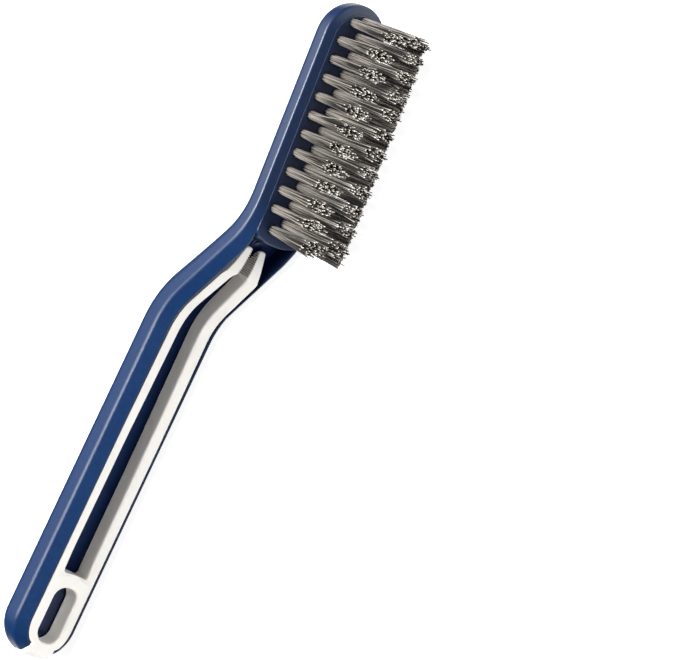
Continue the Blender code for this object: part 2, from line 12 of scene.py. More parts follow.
import bmesh
import bpy
from bpy.props import FloatProperty, FloatVectorProperty, IntProperty, PointerProperty
from mathutils import Euler, Matrix, Vector


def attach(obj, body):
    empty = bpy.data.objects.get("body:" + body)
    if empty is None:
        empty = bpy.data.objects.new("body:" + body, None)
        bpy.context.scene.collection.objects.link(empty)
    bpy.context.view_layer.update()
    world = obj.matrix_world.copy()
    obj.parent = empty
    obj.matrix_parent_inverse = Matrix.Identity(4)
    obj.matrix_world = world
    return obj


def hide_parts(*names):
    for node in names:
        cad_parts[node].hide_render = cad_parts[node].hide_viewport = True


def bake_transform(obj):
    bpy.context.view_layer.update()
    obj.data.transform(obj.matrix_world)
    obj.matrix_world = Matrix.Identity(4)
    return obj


bl_info = {
    "name": "Crevice Brush",
    "version": (1, 0, 0),
    "blender": (4, 5, 0),
    "location": "View3D > Sidebar > Crevice Brush",
    "description": "Builds the finished pieces of a crevice brush with a tweezer in its handle",
    "category": "Add Mesh",
}

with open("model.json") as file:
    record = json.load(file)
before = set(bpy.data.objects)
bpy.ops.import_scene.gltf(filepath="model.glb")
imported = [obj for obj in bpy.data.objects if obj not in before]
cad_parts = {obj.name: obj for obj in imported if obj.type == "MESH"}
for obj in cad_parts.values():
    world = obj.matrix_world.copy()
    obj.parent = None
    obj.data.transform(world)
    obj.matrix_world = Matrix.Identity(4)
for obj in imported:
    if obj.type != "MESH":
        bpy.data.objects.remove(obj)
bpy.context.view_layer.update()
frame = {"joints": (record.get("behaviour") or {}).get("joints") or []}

MM = 0.001
FULL_TURN = 2 * math.pi
QUARTER_TURN = math.pi / 2

# Facets
END_STEPS = 16
FILLET_STEPS = 4
BACK_EDGE_STEPS = 8
CRESCENT_STEPS = 14
SLOT_STEPS = 8
ROUND_SIDES = 28
STATION_STEP = 0.0022
BEND_STEP = 0.0011
CROWN_CUTS = 6

# Cutters run this far past what they cut
OVERRUN = 0.006
# The rounded edges that cutters leave turn this far, a little short of flat
RIM_TURN = math.radians(72)
HOLE_MOUTH_TURN = math.radians(70)
SLOT_MOUTH_TURN = math.radians(75)
# Vertices nearer than this are made one, in a drawing and after a cut
MERGE_DISTANCE = 0.004 * MM
WELD_DISTANCE = 0.0005 * MM
# Edges that turn by more degrees than this are shaded sharp
MOULDING_SHARP = 28
STRAND_SHARP = 50


def length(name, description, default):
    return FloatProperty(name=name, description=description, default=default, min=0, precision=5,
                         unit="LENGTH")


def angle(name, description, degrees):
    return FloatProperty(name=name, description=description, default=math.radians(degrees),
                         unit="ROTATION", precision=3)


def share(name, description, default):
    return FloatProperty(name=name, description=description, default=default, precision=3)


def quantity(name, description, default, unit="NONE"):
    return FloatProperty(name=name, description=description, default=default, unit=unit)


def color(name, description, default):
    return FloatVectorProperty(name=name, description=description, default=default, size=3,
                               min=0, max=1, subtype="COLOR")


# Sizes and colours

class CreviceBodySizes(bpy.types.PropertyGroup):
    """Sizes of the blue moulding."""
    handle_length: length("Handle length", "Spine from its end to the neck's corner", 0.1257)
    neck_length: length("Neck length", "Spine between the two corners", 0.0438)
    head_length: length("Head length", "Spine from the corner to the head's end", 0.0801)
    neck_slope: angle("Neck slope", "Rise of the neck over the handle", 31.3)
    head_slope: angle("Head slope", "Rise of the head over the handle", -5.9)
    neck_radius: length("Neck bend radius", "Radius of the spine from handle to neck", 0.026)
    head_radius: length("Head bend radius", "Radius of the spine from neck to head", 0.031)
    half_width: length("Half width", "From the middle line to the ridge", 0.0128)
    handle_wall: length("Handle wall height", "Back to ridge in the handle", 0.0088)
    head_wall: length("Head wall height", "Back to ridge in the head", 0.0074)
    back_radius: length("Back edge radius", "Rounding of the back's edges", 0.0040)
    handle_bevel_run: length("Handle bevel run", "Bevel's width across the handle", 0.0034)
    handle_bevel_rise: length("Handle bevel rise", "Ridge to rim in the handle", 0.0035)
    handle_end_run: length("Handle end run", "Bevel's width at the handle's end", 0.0024)
    head_bevel_run: length("Head bevel run", "Bevel's width across the head", 0.0029)
    head_bevel_rise: length("Head bevel rise", "Ridge to rim in the head", 0.0009)
    rim_land: length("Rim land", "Flat between the bevel and the trough", 0.0005)
    handle_ridge_radius: length("Handle ridge radius", "Rounding between wall and bevel", 0.0024)
    head_ridge_radius: length("Head ridge radius", "Rounding between wall and bevel", 0.0010)
    rim_radius: length("Rim radius", "Rounding of the rim's two edges", 0.00022)
    wall_change_before: length("Wall change start", "Before the head's corner", 0.0509)
    wall_change_length: length("Wall change length", "Along the spine", 0.0430)
    bevel_change_before: length("Bevel change start", "Before the head's corner", 0.0084)
    bevel_change_length: length("Bevel change length", "Along the spine", 0.0190)
    trough_depth: length("Trough depth", "Rim to floor less the bevel's rise", 0.0070)
    floor_fillet: length("Floor fillet", "Rounding between the trough's walls and floor", 0.00035)
    notch_half_width: length("Notch half width", "Opening in the handle's end wall", 0.0051)
    trough_past_crescent: length("Trough past crescent", "Length of the pockets beside it", 0.0035)
    plateau_past_head: length("Plateau past head", "From the head's corner to the crescent", 0.0047)
    plateau_setback: length("Plateau setback", "From the head's bevel to the plateau", 0.0003)
    plateau_step: length("Plateau step", "The plateau over the head's rim", 0.00025)
    plateau_root: length("Plateau root", "Its depth in the head", 0.0045)
    plateau_foot: length("Plateau foot", "Its depth at the crescent", 0.0080)
    plateau_foot_length: length("Plateau foot length", "Where the foot grows", 0.0090)
    plateau_radius: length("Plateau edge radius", "Rounding of its rim", 0.0004)
    plateau_corner: length("Plateau corner", "Rounding of the crescent's horns in plan", 0.0026)
    crescent_radius: length("Crescent radius", "Arc of the plateau's end", 0.0240)
    boss_radius: length("Boss radius", "Pin in front of the jaws", 0.0010)
    boss_ring: length("Boss ring", "Low disc round the pin", 0.0019)
    boss_height: length("Boss height", "Pin over the trough's floor", 0.0007)
    boss_before: length("Boss before crescent", "From the crescent to the pin's middle", 0.0038)
    hole_radius: length("Hole radius", "Blind hole of a tuft", 0.0016)
    hole_depth: length("Hole depth", "Blind hole of a tuft", 0.0052)
    hole_flare: length("Hole flare", "Rounding of a hole's mouth", 0.00018)
    slot_from_end: length("Slot from end", "Handle's end to the hanging slot", 0.0066)
    slot_length: length("Slot length", "Along the handle", 0.0197)
    slot_width: length("Slot width", "Across the handle", 0.0098)
    slot_end_flat: length("Slot end flat", "Straight part of the slot's ends", 0.0014)
    slot_flare: length("Slot flare", "Rounding of the slot's mouth in the back", 0.0006)


class CreviceTweezerSizes(bpy.types.PropertyGroup):
    """Sizes of the white moulding."""
    seat_gap: length("Seat gap", "Under the tweezer", 0.0003)
    side_gap: length("Side gap", "Between the tweezer and the trough's wall", 0.00015)
    tab_from_end: length("Tab from end", "Handle's end to the tab", 0.0003)
    tab_front_from_end: length("Tab front from end", "The tab's nose falls back to here", 0.0020)
    tab_radius: length("Tab radius", "Rounding of the tab's nose", 0.0016)
    base_band: length("Base band", "Between the slot and the base's edge", 0.0049)
    base_edge_radius: length("Base edge radius", "Arc of the base's edge", 0.0290)
    root_fillet: length("Root fillet", "Rounding where an arm leaves the base", 0.0012)
    arm_root: length("Arm at its root", "Thickness", 0.00345)
    arm_middle: length("Arm in the middle", "Thickness", 0.00375)
    arm_neck: length("Arm at the neck", "Thickness", 0.0041)
    neck_inset: length("Neck inset", "The arm's outer face in the neck", 0.00055)
    hinge_inset: length("Hinge inset", "From the arm's outer face to where it bends", 0.0020)
    kink: length("Arm at the kink", "Thickness", 0.00465)
    kink_inset: length("Kink inset", "The arm's outer face at the kink", 0.0009)
    kink_length: length("Kink length", "Before the jaw", 0.0016)
    jaw_inset: length("Jaw inset", "The jaw's outer face at its root", 0.00155)
    jaw_root_inner: length("Jaw root gap", "Half of the gap between the jaws' roots", 0.0022)
    jaw_tip_width: length("Jaw tip width", "Thickness", 0.0028)
    jaw_tip_inner: length("Jaw tip gap", "Half of the gap between the tips", 0.0014)
    jaw_tip_radius: length("Jaw tip radius", "Rounding in plan", 0.0013)
    jaw_length: length("Jaw length", "Along the brush", 0.0090)
    jaw_before_crescent: length("Jaw before crescent", "From the crescent to the tips", 0.0048)
    jaw_sink: length("Jaw sink", "The tips below the rim", 0.0048)
    jaw_lift: length("Jaw lift", "The tips over the trough's floor", 0.0011)
    jaw_sink_lead: length("Jaw sink lead", "The sinking starts this far before the jaws", 0.0010)
    tooth_depth: length("Tooth depth", "Serration", 0.00045)
    tooth_count: IntProperty(name="Teeth", description="Serrations on a jaw", default=12, min=1)
    hinge_from_root: length("Hinge from root", "The arms bend here", 0.0010)
    crown: length("Crown", "The front's rise over the rim on the middle line", 0.0009)
    crown_flat: length("Crown flat", "Half width of the crown's level middle", 0.0015)
    front_radius: length("Front edge radius", "Rounding of the arms' inner edges", 0.0009)
    edge_radius: length("Base edge rounding", "Rounding of the base's edge in its middle", 0.0003)
    outer_radius: length("Outer edge radius", "Rounding of the front's outer edges", 0.0001)
    jaw_front_radius: length("Jaw front radius", "Rounding of the jaws' outer edges", 0.00035)
    jaw_edge_radius: length("Jaw edge radius", "Rounding of the serrated edges", 0.00014)
    bottom_radius: length("Bottom edge radius", "Rounding under the tweezer", 0.0003)
    slot_flare: length("Slot flare", "Rounding of the slot's front mouth", 0.0008)
    slot_foot_flare: length("Slot foot flare", "Rounding of the slot's lower mouth", 0.0011)


class CreviceTuftSizes(bpy.types.PropertyGroup):
    """Sizes of the bristles."""
    row_spacing: length("Row spacing", "Between the rows", 0.0065)
    per_row: IntProperty(name="Tufts in a row", description="Tufts in each row", default=12, min=4)
    side_first: length("Side row first", "Head's end to the first full tuft of a side row", 0.01355)
    side_before_crescent: length("Side row last", "From the crescent, before the end tuft", 0.01194)
    side_last: length("Side end from crescent", "The end tuft of a side row", 0.0051)
    centre_first: length("Centre row first", "Head's end to the centre row's second tuft", 0.0105)
    side_end: length("Side end tuft", "From the head's end", 0.0066)
    centre_end: length("Centre end tuft", "From the head's end", 0.0050)
    row_lean: angle("Row lean", "The tufts next to the last ones lean toward the handle", 2.3)
    first_lean: share("First lean", "Lean of the first tufts as a share of that", 0.4)
    last_lean: angle("Last lean", "The last tufts lean toward the handle", 3.2)
    bundle_radius: length("Bundle radius", "A tuft where it leaves its hole", 0.00150)
    strands: IntProperty(name="Strands", description="Filaments in a tuft", default=72, min=8)
    strand_radius: length("Strand radius", "A filament", 0.000172)
    trim_peak: length("Trim peak", "Tips over the plateau on the middle line", 0.0320)
    trim_fall: share("Trim fall", "Slant of the cut to both sides", 0.95)
    tip_along: share("Tips along", "Reach along the row as a share of the pitch", 0.30)
    tip_across: share("Tips across", "Reach across as a share of the row spacing", 0.53)
    tip_shift: share("Tip shift", "Outward shift of a side tuft's tips", 0.315)
    end_foot: share("End foot", "End tuft's distance from the middle line", 0.615)
    end_across: share("End across", "Reach across of an end tuft", 0.50)
    end_shift: share("End shift", "Outward shift of an end tuft's tips", 0.37)
    end_spread: share("End spread", "The last tufts of the rows reach this much farther", 1.4)


class CreviceFinishes(bpy.types.PropertyGroup):
    """Colours of the three materials."""
    blue: color("Blue", "Body moulding", (0.0040, 0.0230, 0.0830))
    # Lighter blue on the body's edges: partly wear, partly a painted highlight along the edges and
    # ridges
    blue_edge_wear_and_highlight: color("Worn and lit blue", "Body moulding on its edges", (0.085, 0.110, 0.180))
    # A greyer blue painted over the head: a painted sheen standing in for the pale floor's
    # reflection
    blue_painted_sheen: color("Painted sheen blue", "Body moulding on the head", (0.035, 0.036, 0.045))
    # A darker blue painted into the trough, the slot and the hollows as shade
    blue_painted_shade: color("Painted shade blue", "Body moulding in its recesses", (0.0030, 0.0075, 0.0340))
    white: color("White", "Tweezer", (0.765, 0.745, 0.706))
    white_worn: color("Worn white", "Tweezer on its edges", (0.620, 0.590, 0.530))
    # A dark brown painted into the tweezer's gaps, corners and the grooves of its teeth as shade
    white_painted_shade: color("Painted shade white", "Tweezer in its recesses", (0.080, 0.070, 0.058))
    bristle: color("Bristle", "Filaments", (0.300, 0.272, 0.240))
    # The darkest filament tone, also painted as shade deep in the tufts and between the cut ends
    bristle_dark_and_shade: color("Dark bristle and shade", "The darkest filaments", (0.012, 0.010, 0.008))
    bristle_cut: color("Cut end", "Cut ends of the filaments", (0.680, 0.630, 0.560))


class CreviceStageSettings(bpy.types.PropertyGroup):
    """Camera, floor and lights."""
    azimuth: angle("Camera azimuth", "Round the brush", 5.9)
    elevation: angle("Camera elevation", "Above the floor", 40)
    roll: angle("Camera roll", "Turn of the picture", -68.5)
    target: FloatVectorProperty(name="Target", description="Point in the picture's middle",
                                default=(0.02227, -0.01617, -0.01855), unit="LENGTH", precision=5)
    picture_width: length("Picture width", "Width of the view at the target", 0.2303)
    lens: quantity("Lens", "Focal length in millimetres", 1100)
    floor_size: length("Floor size", "Side of the floor", 60)
    floor: color("Floor", "Pale floor near the brush", (0.70, 0.70, 0.70))
    floor_far: color("Far floor", "Floor farther away", (0.04, 0.04, 0.04))
    floor_glow: quantity("Floor glow", "Paleness added in the picture", 0.85)
    sky: color("Sky", "Dim light from all around", (0.92, 0.90, 0.88))
    sky_strength: quantity("Sky strength", "Strength of the sky", 0.07)
    top_strength: quantity("Top light", "Strength of the high light", 5.5)
    back_power: quantity("Back light", "Power of the box behind", 10, unit="POWER")
    head_power: quantity("Head light", "Power of the small box over the head", 6, unit="POWER")
    front_power: quantity("Front light", "Power of the low front box", 25, unit="POWER")


# The brush's lines

def tangent_length(radius, turn):
    return radius * math.tan(abs(turn) / 2)


def between(low, high, part):
    return low + (high - low) * part


def smooth_share(value, start, end):
    part = min(max((value - start) / (end - start), 0.0), 1.0)
    return part * part * (3 - 2 * part)


class BrushLines:
    """The spine and the sections along it, worked out from the body's sizes."""

    def __init__(self, sizes):
        self.sizes = sizes
        self.half_width = sizes.half_width
        neck_tangent = tangent_length(sizes.neck_radius, sizes.neck_slope)
        head_turn = sizes.head_slope - sizes.neck_slope
        head_tangent = tangent_length(sizes.head_radius, head_turn)
        self.handle_wall = sizes.handle_wall
        self.head_slope = sizes.head_slope
        # Each run is its length and the angle through which it turns
        self.runs = (
            (sizes.handle_length - neck_tangent, 0),
            (sizes.neck_radius * sizes.neck_slope, sizes.neck_slope),
            (sizes.neck_length - neck_tangent - head_tangent, 0),
            (sizes.head_radius * abs(head_turn), head_turn),
            (sizes.head_length - head_tangent, 0),
        )
        self.run_ends = [sum(run[0] for run in self.runs[:count])
                         for count in range(1, len(self.runs) + 1)]
        self.length = self.run_ends[-1]
        self.corner = self.length - sizes.head_length
        self.plateau_length = sizes.head_length + sizes.plateau_past_head
        self.crescent = self.length - self.plateau_length
        self.field = sizes.head_bevel_rise + sizes.plateau_step
        self.head_end = self.spine(self.length)

    def spine(self, s):
        """The spine's x, z and slope at the distance s from the handle's end."""
        x, z, slope, left = 0.0, self.handle_wall, 0.0, s
        for number, (run, turn) in enumerate(self.runs):
            here = left if number == len(self.runs) - 1 else min(left, run)
            if turn:
                turned = turn * here / run
                radius = run / turn
                x += radius * (math.sin(slope + turned) - math.sin(slope))
                z += radius * (math.cos(slope) - math.cos(slope + turned))
                slope += turned
            else:
                x += here * math.cos(slope)
                z += here * math.sin(slope)
            left -= here
            if left <= 0:
                break
        return x, z, slope

    def bent(self, point):
        """A point (s, y, z) of the flat drawing, bent along the spine."""
        s, y, z = point
        x, height, slope = self.spine(s)
        return Vector((x - z * math.sin(slope), y, height + z * math.cos(slope)))

    def on_head(self, point):
        """A point (t, y, z) on the head's straight line, with t from the head's end."""
        end_x, end_z, _ = self.head_end
        t, y, z = point
        x = end_x - t * math.cos(self.head_slope) - z * math.sin(self.head_slope)
        return Vector((x, y, end_z - t * math.sin(self.head_slope) + z * math.cos(self.head_slope)))

    def head_share(self, s):
        """0 in the handle and 1 in the head."""
        start = self.corner - self.sizes.bevel_change_before
        return smooth_share(s, start, start + self.sizes.bevel_change_length)

    def bevel_run(self, s):
        return between(self.sizes.handle_bevel_run, self.sizes.head_bevel_run, self.head_share(s))

    def bevel_rise(self, s):
        return between(self.sizes.handle_bevel_rise, self.sizes.head_bevel_rise, self.head_share(s))

    def wall_height(self, s):
        start = self.corner - self.sizes.wall_change_before
        part = smooth_share(s, start, start + self.sizes.wall_change_length)
        return between(self.sizes.handle_wall, self.sizes.head_wall, part)

    def trough_half_width(self, s):
        return self.half_width - self.bevel_run(s) - self.sizes.rim_land

    def floor_level(self, s):
        return self.bevel_rise(s) - self.sizes.trough_depth

    def stations(self, start, end):
        """Places between two distances, closer where the spine bends or the section changes."""
        fine_start = self.run_ends[0] - 2 * STATION_STEP
        fine_end = self.run_ends[3] + self.sizes.bevel_change_length / 2
        found = [start]
        while found[-1] < end:
            step = BEND_STEP if fine_start < found[-1] < fine_end else STATION_STEP
            found.append(found[-1] + step)
        if len(found) > 2 and end - found[-2] < STATION_STEP / 3:
            found.pop(-2)
        found[-1] = end
        return found


# Modelling tools

def grow_ring(shape, edges):
    """Extrudes a ring of edges, and gives the new ring's vertices and edges."""
    grown = bmesh.ops.extrude_edge_only(shape, edges=edges)["geom"]
    verts = [item for item in grown if isinstance(item, bmesh.types.BMVert)]
    fresh = set(verts)
    return verts, [item for item in grown if isinstance(item, bmesh.types.BMEdge)
                   and item.verts[0] in fresh and item.verts[1] in fresh]


def ring_shape(rings, cuts=0):
    """A closed solid through closed rings of (s, y, z) points, all of one count. A ring is a left
    chain and then a right chain, run back. The first and last rings are filled with strips from
    chain to chain, and the last one's strips are cut across."""
    shape = bmesh.new()
    place = shape.verts.layers.int.new("place")
    count = len(rings[0])
    loop = bmesh.ops.create_circle(shape, cap_ends=False, segments=count, radius=1)["verts"]
    for number, vert in enumerate(loop):
        vert[place] = number
        vert.co = rings[0][number]
    first = edges = list(shape.edges)
    for ring in rings[1:]:
        verts, edges = grow_ring(shape, edges)
        for vert in verts:
            vert.co = ring[vert[place]]
    half = count // 2
    for ends, across in ((first, 0), (edges, cuts)):
        chains = []
        for edge in ends:
            numbers = [vert[place] for vert in edge.verts]
            if max(numbers) < half or min(numbers) >= half:
                chains.append(edge)
        filled = bmesh.ops.bridge_loops(shape, edges=chains)
        if across:
            bmesh.ops.subdivide_edges(shape, edges=filled["edges"], cuts=across,
                                      use_grid_fill=False)
    return shape


def place_flat(shape, bend):
    """Bends a flat drawing along the spine, or along the head, and closes it up."""
    for vert in shape.verts:
        vert.co = bend(vert.co)
    finish_shape(shape)


def finish_shape(shape):
    bmesh.ops.remove_doubles(shape, verts=shape.verts, dist=MERGE_DISTANCE)
    bmesh.ops.recalc_face_normals(shape, faces=shape.faces)


def turned(profile):
    """A solid of revolution about Z from a profile of (radius, z) points, bottom to top."""
    shape = bmesh.new()
    verts = [shape.verts.new((radius, 0, z)) for radius, z in profile]
    edges = [shape.edges.new(pair) for pair in zip(verts[:-1], verts[1:])]
    bmesh.ops.spin(shape, geom=verts + edges, cent=(0, 0, 0), axis=(0, 0, 1), angle=FULL_TURN,
                   steps=ROUND_SIDES, use_merge=True)
    finish_shape(shape)
    return shape


def object_of(name, shape, *looks):
    data = bpy.data.meshes.new(name)
    shape.to_mesh(data)
    shape.free()
    made = bpy.data.objects.new(name, data)
    bpy.context.scene.collection.objects.link(made)
    for look in looks:
        data.materials.append(look)
    return made


def bent_object(name, rings, bend, *looks):
    """A solid through flat rings, bent into the brush frame."""
    shape = ring_shape(rings)
    place_flat(shape, bend)
    return object_of(name, shape, *looks)


def cut(target, cutter, operation="DIFFERENCE"):
    """Cuts or joins a helper, which is then removed. Welding keeps the result one closed mesh,
    as the next cut needs it."""
    change = target.modifiers.new(cutter.name, "BOOLEAN")
    change.operation = operation
    change.object = cutter
    change.solver = "EXACT"
    bpy.context.view_layer.update()
    graph = bpy.context.evaluated_depsgraph_get()
    result = bpy.data.meshes.new_from_object(target.evaluated_get(graph))
    target.modifiers.clear()
    shape = bmesh.new()
    shape.from_mesh(result)
    bmesh.ops.remove_doubles(shape, verts=shape.verts, dist=WELD_DISTANCE)
    bmesh.ops.dissolve_degenerate(shape, edges=shape.edges, dist=WELD_DISTANCE)
    shape.to_mesh(result)
    shape.free()
    old = target.data
    target.data = result
    bpy.data.meshes.remove(old)
    bpy.data.objects.remove(cutter, do_unlink=True)
    if not result.polygons:
        raise RuntimeError("nothing is left of " + target.name)


def shade(target, degrees):
    target.data.shade_smooth()
    target.data.set_sharp_from_angle(angle=math.radians(degrees))


def even_normals(target):
    weights = target.modifiers.new("even normals", "WEIGHTED_NORMAL")
    weights.keep_sharp = True


def brush_place():
    """Where the brush frame lies: on its right wall, placed by the left arm's hinge."""
    scene = bpy.context.scene
    lines = BrushLines(scene.crevice_body)
    hinge = next(joint for joint in frame["joints"] if joint["name"] == "arm_left_squeeze")
    turn = Matrix.Rotation(QUARTER_TURN, 4, "X")
    here = turn @ TweezerLines(lines, scene.crevice_tweezer).hinge_point()
    return Matrix.Translation(Vector(hinge["pos_m"]) - here) @ turn


# Blue body

def arc(start, end, steps):
    return [between(start, end, step / steps) for step in range(steps + 1)]


def round_end(half_width, end_inset, width, turn):
    """A point of the handle's round end, drawn in by an inset on the middle line."""
    return half_width - (half_width - end_inset) * math.cos(turn), width * math.sin(turn)


def end_angles(start=0.0):
    """Angles over a round end from its nose to its side, without either end."""
    step = (QUARTER_TURN - start) / END_STEPS
    return [start + step * (number + 0.5) for number in range(END_STEPS)]


def both_sides(chain):
    """A ring from its left chain."""
    return chain + [(s, -y, z) for s, y, z in reversed(chain)]


def body_ring(lines, inset, end_inset, level):
    half = lines.half_width
    chain = []
    for turn in end_angles():
        s, y = round_end(half, end_inset, half - inset(0), turn)
        chain.append((s, y, level(0)))
    for s in lines.stations(half, lines.length - half):
        chain.append((s, half - inset(s), level(s)))
    for turn in reversed(end_angles()):
        radius = half - inset(lines.length)
        chain.append((lines.length - half + radius * math.cos(turn), radius * math.sin(turn),
                      level(lines.length)))
    return both_sides(chain)


class BevelPoint:
    """A point of the section between wall and rim, as an inset and a level that follow s."""

    def __init__(self, lines, part):
        self.lines = lines
        self.part = part

    def at(self, s):
        lines, sizes = self.lines, self.lines.sizes
        run, rise = lines.bevel_run(s), lines.bevel_rise(s)
        slant = math.atan2(run, rise)
        if self.part <= FILLET_STEPS:
            radius = between(sizes.handle_ridge_radius, sizes.head_ridge_radius,
                             lines.head_share(s))
            reach = radius * math.tan(slant / 2)
            turn = slant * self.part / FILLET_STEPS
            return radius * (1 - math.cos(turn)), radius * math.sin(turn) - reach
        radius = sizes.rim_radius
        reach = radius * math.tan((QUARTER_TURN - slant) / 2)
        start = (run - reach * math.sin(slant), rise - reach * math.cos(slant))
        step = (self.part - FILLET_STEPS - 1) / FILLET_STEPS
        turn = between(slant, QUARTER_TURN, step)
        return (start[0] + radius * (math.cos(slant) - math.cos(turn)),
                start[1] + radius * (math.sin(turn) - math.sin(slant)))

    def inset(self, s):
        return self.at(s)[0]

    def level(self, s):
        return self.at(s)[1]


def body_rings(lines):
    """The outside with no trough: back, back edge, wall, ridge, bevel and rim."""
    sizes = lines.sizes
    rings = []
    for turn in arc(0, QUARTER_TURN, BACK_EDGE_STEPS):
        inset = sizes.back_radius * (1 - math.sin(turn))
        lift = sizes.back_radius * (1 - math.cos(turn))
        rings.append(body_ring(lines, lambda s: inset, inset,
                               lambda s: lift - lines.wall_height(s)))
    for part in range(2 * FILLET_STEPS + 2):
        point = BevelPoint(lines, part)
        end_inset = point.inset(0) * sizes.handle_end_run / sizes.handle_bevel_run
        rings.append(body_ring(lines, point.inset, end_inset, point.level))
    return rings


def trough_ring(lines, inset, level):
    """A ring of the trough, drawn in by an inset, from its notch to past the crescent."""
    sizes = lines.sizes
    width = lines.trough_half_width(0) - inset
    notch = sizes.notch_half_width - inset
    turn = math.asin(notch / width)
    chain = [(-OVERRUN, notch, level(0))]
    end_inset = sizes.handle_end_run + sizes.rim_land + inset
    for step in range(END_STEPS):
        here = between(turn, QUARTER_TURN, step / END_STEPS)
        s, y = round_end(lines.half_width, end_inset, width, here)
        chain.append((s, y, level(0)))
    end = lines.crescent + sizes.trough_past_crescent
    for s in lines.stations(lines.half_width, end):
        chain.append((s, lines.trough_half_width(s) - inset, level(s)))
    radius = sizes.plateau_corner
    last_width = lines.trough_half_width(end) - inset
    for corner in arc(0, QUARTER_TURN, FILLET_STEPS)[1:]:
        y = last_width - radius * (1 - math.cos(corner))
        chain.append((end + radius * math.sin(corner), y, level(end)))
    return both_sides(chain)


def trough_cutter(lines):
    sizes = lines.sizes
    fillet, flare = sizes.floor_fillet, sizes.rim_radius

    def ring(inset, base, rise):
        return trough_ring(lines, inset, lambda s: base(s) + rise)

    rings = [ring(fillet * (1 - math.sin(turn)), lines.floor_level, fillet * (1 - math.cos(turn)))
             for turn in arc(0, QUARTER_TURN, FILLET_STEPS)]
    rings += [ring(-flare * (1 - math.cos(turn)), lines.bevel_rise, -flare * (1 - math.sin(turn)))
              for turn in arc(0, RIM_TURN, FILLET_STEPS)]
    # Past the rounding the cutter keeps its slope for half the radius, and then runs straight out
    reach = flare * (1 - math.cos(RIM_TURN) + math.sin(RIM_TURN) / 2)
    drop = flare * (1 - math.sin(RIM_TURN)) - flare * math.cos(RIM_TURN) / 2
    rings += [ring(-reach, lines.bevel_rise, rise) for rise in (-drop, OVERRUN)]
    return bent_object("trough_cutter", rings, lines.bent)


def plateau_ring(lines, inset, level):
    """A ring of the plateau as (t, y, z), from the crescent's middle to the head's end."""
    sizes = lines.sizes
    width = lines.half_width - sizes.head_bevel_run - sizes.plateau_setback - inset
    corner = sizes.plateau_corner
    arc_radius = sizes.crescent_radius - inset
    middle = lines.plateau_length - sizes.crescent_radius
    # The horn's rounding touches the crescent's arc from inside and the straight side
    horn_y = width - corner
    horn_t = middle + math.sqrt((arc_radius - corner) ** 2 - horn_y ** 2)
    touch = math.asin(horn_y / (arc_radius - corner))
    chain = []
    for step in range(CRESCENT_STEPS):
        turn = touch * (step + 0.5) / (CRESCENT_STEPS - 0.5)
        chain.append((middle + arc_radius * math.cos(turn), arc_radius * math.sin(turn)))
    for turn in arc(touch, QUARTER_TURN, 2 * FILLET_STEPS)[1:]:
        chain.append((horn_t + corner * math.cos(turn), horn_y + corner * math.sin(turn)))
    for turn in reversed(end_angles()):
        chain.append((lines.half_width - width * math.cos(turn), width * math.sin(turn)))
    return both_sides([(t, y, level(t)) for t, y in chain])


def plateau(lines):
    sizes = lines.sizes
    foot_start = lines.plateau_length - sizes.plateau_foot_length
    radius = sizes.plateau_radius

    def bottom(t):
        part = smooth_share(t, foot_start, lines.plateau_length)
        return -between(sizes.plateau_root, sizes.plateau_foot, part)

    rings = [plateau_ring(lines, 0, bottom)]
    for turn in arc(0, QUARTER_TURN, FILLET_STEPS):
        inset, drop = radius * (1 - math.cos(turn)), radius * (1 - math.sin(turn))
        rings.append(plateau_ring(lines, inset, lambda t: lines.field - drop))
    return bent_object("plateau", rings, lines.on_head)


# The rounding of the boss's pin as a share of its radius, and the ring's rise as a share of its own
BOSS_ROUNDING = 0.2
BOSS_RING_RISE = 0.14


def boss(lines):
    """A low disc with a pin on the trough's floor, just past the jaws' tips."""
    sizes = lines.sizes
    s = lines.crescent - sizes.boss_before
    fillet = BOSS_ROUNDING * sizes.boss_radius
    step = BOSS_RING_RISE * sizes.boss_ring
    profile = [(0, -sizes.boss_height), (sizes.boss_ring, -sizes.boss_height),
               (sizes.boss_ring, step), (sizes.boss_radius, step)]
    for turn in arc(0, QUARTER_TURN, FILLET_STEPS):
        profile.append((sizes.boss_radius - fillet * (1 - math.cos(turn)),
                        sizes.boss_height - fillet * (1 - math.sin(turn))))
    profile.append((0, sizes.boss_height))
    shape = turned(profile)
    foot = lines.bent((s, 0, lines.floor_level(s)))
    shape.transform(Matrix.Translation(foot) @ Matrix.Rotation(-lines.spine(s)[2], 4, "Y"))
    return object_of("boss", shape)


def hole_cutters(lines, tufts):
    """All the blind holes with their rounded mouths, as one cutter."""
    sizes = lines.sizes
    radius, flare = sizes.hole_radius, sizes.hole_flare
    profile = [(0, -sizes.hole_depth), (radius, -sizes.hole_depth)]
    for turn in arc(0, HOLE_MOUTH_TURN, FILLET_STEPS - 1):
        profile.append((radius + flare * (1 - math.cos(turn)), -flare * (1 - math.sin(turn))))
    profile.append((profile[-1][0] + flare, flare))
    profile.append((profile[-1][0], OVERRUN))
    profile.append((0, OVERRUN))
    all_holes = bmesh.new()
    for side in (1, 0, -1):
        for spot in row_places(lines, tufts, side):
            one = turned(profile)
            one.transform(tuft_frame(lines, spot))
            data = bpy.data.meshes.new("hole")
            one.to_mesh(data)
            one.free()
            all_holes.from_mesh(data)
            bpy.data.meshes.remove(data)
    return object_of("hole_cutters", all_holes)


def slot_ring(sizes, grow, level):
    half = sizes.slot_width / 2
    corner = (sizes.slot_width - sizes.slot_end_flat) / 2
    near = sizes.slot_from_end + corner
    far = sizes.slot_from_end + sizes.slot_length - corner
    radius = corner + grow
    flat = half - corner
    turns = arc(0, QUARTER_TURN, SLOT_STEPS)
    chain = [(near - radius * math.cos(turn), flat + radius * math.sin(turn)) for turn in turns]
    chain += [(far + radius * math.cos(turn), flat + radius * math.sin(turn))
              for turn in reversed(turns)]
    return both_sides([(s, y, level(y)) for s, y in chain])


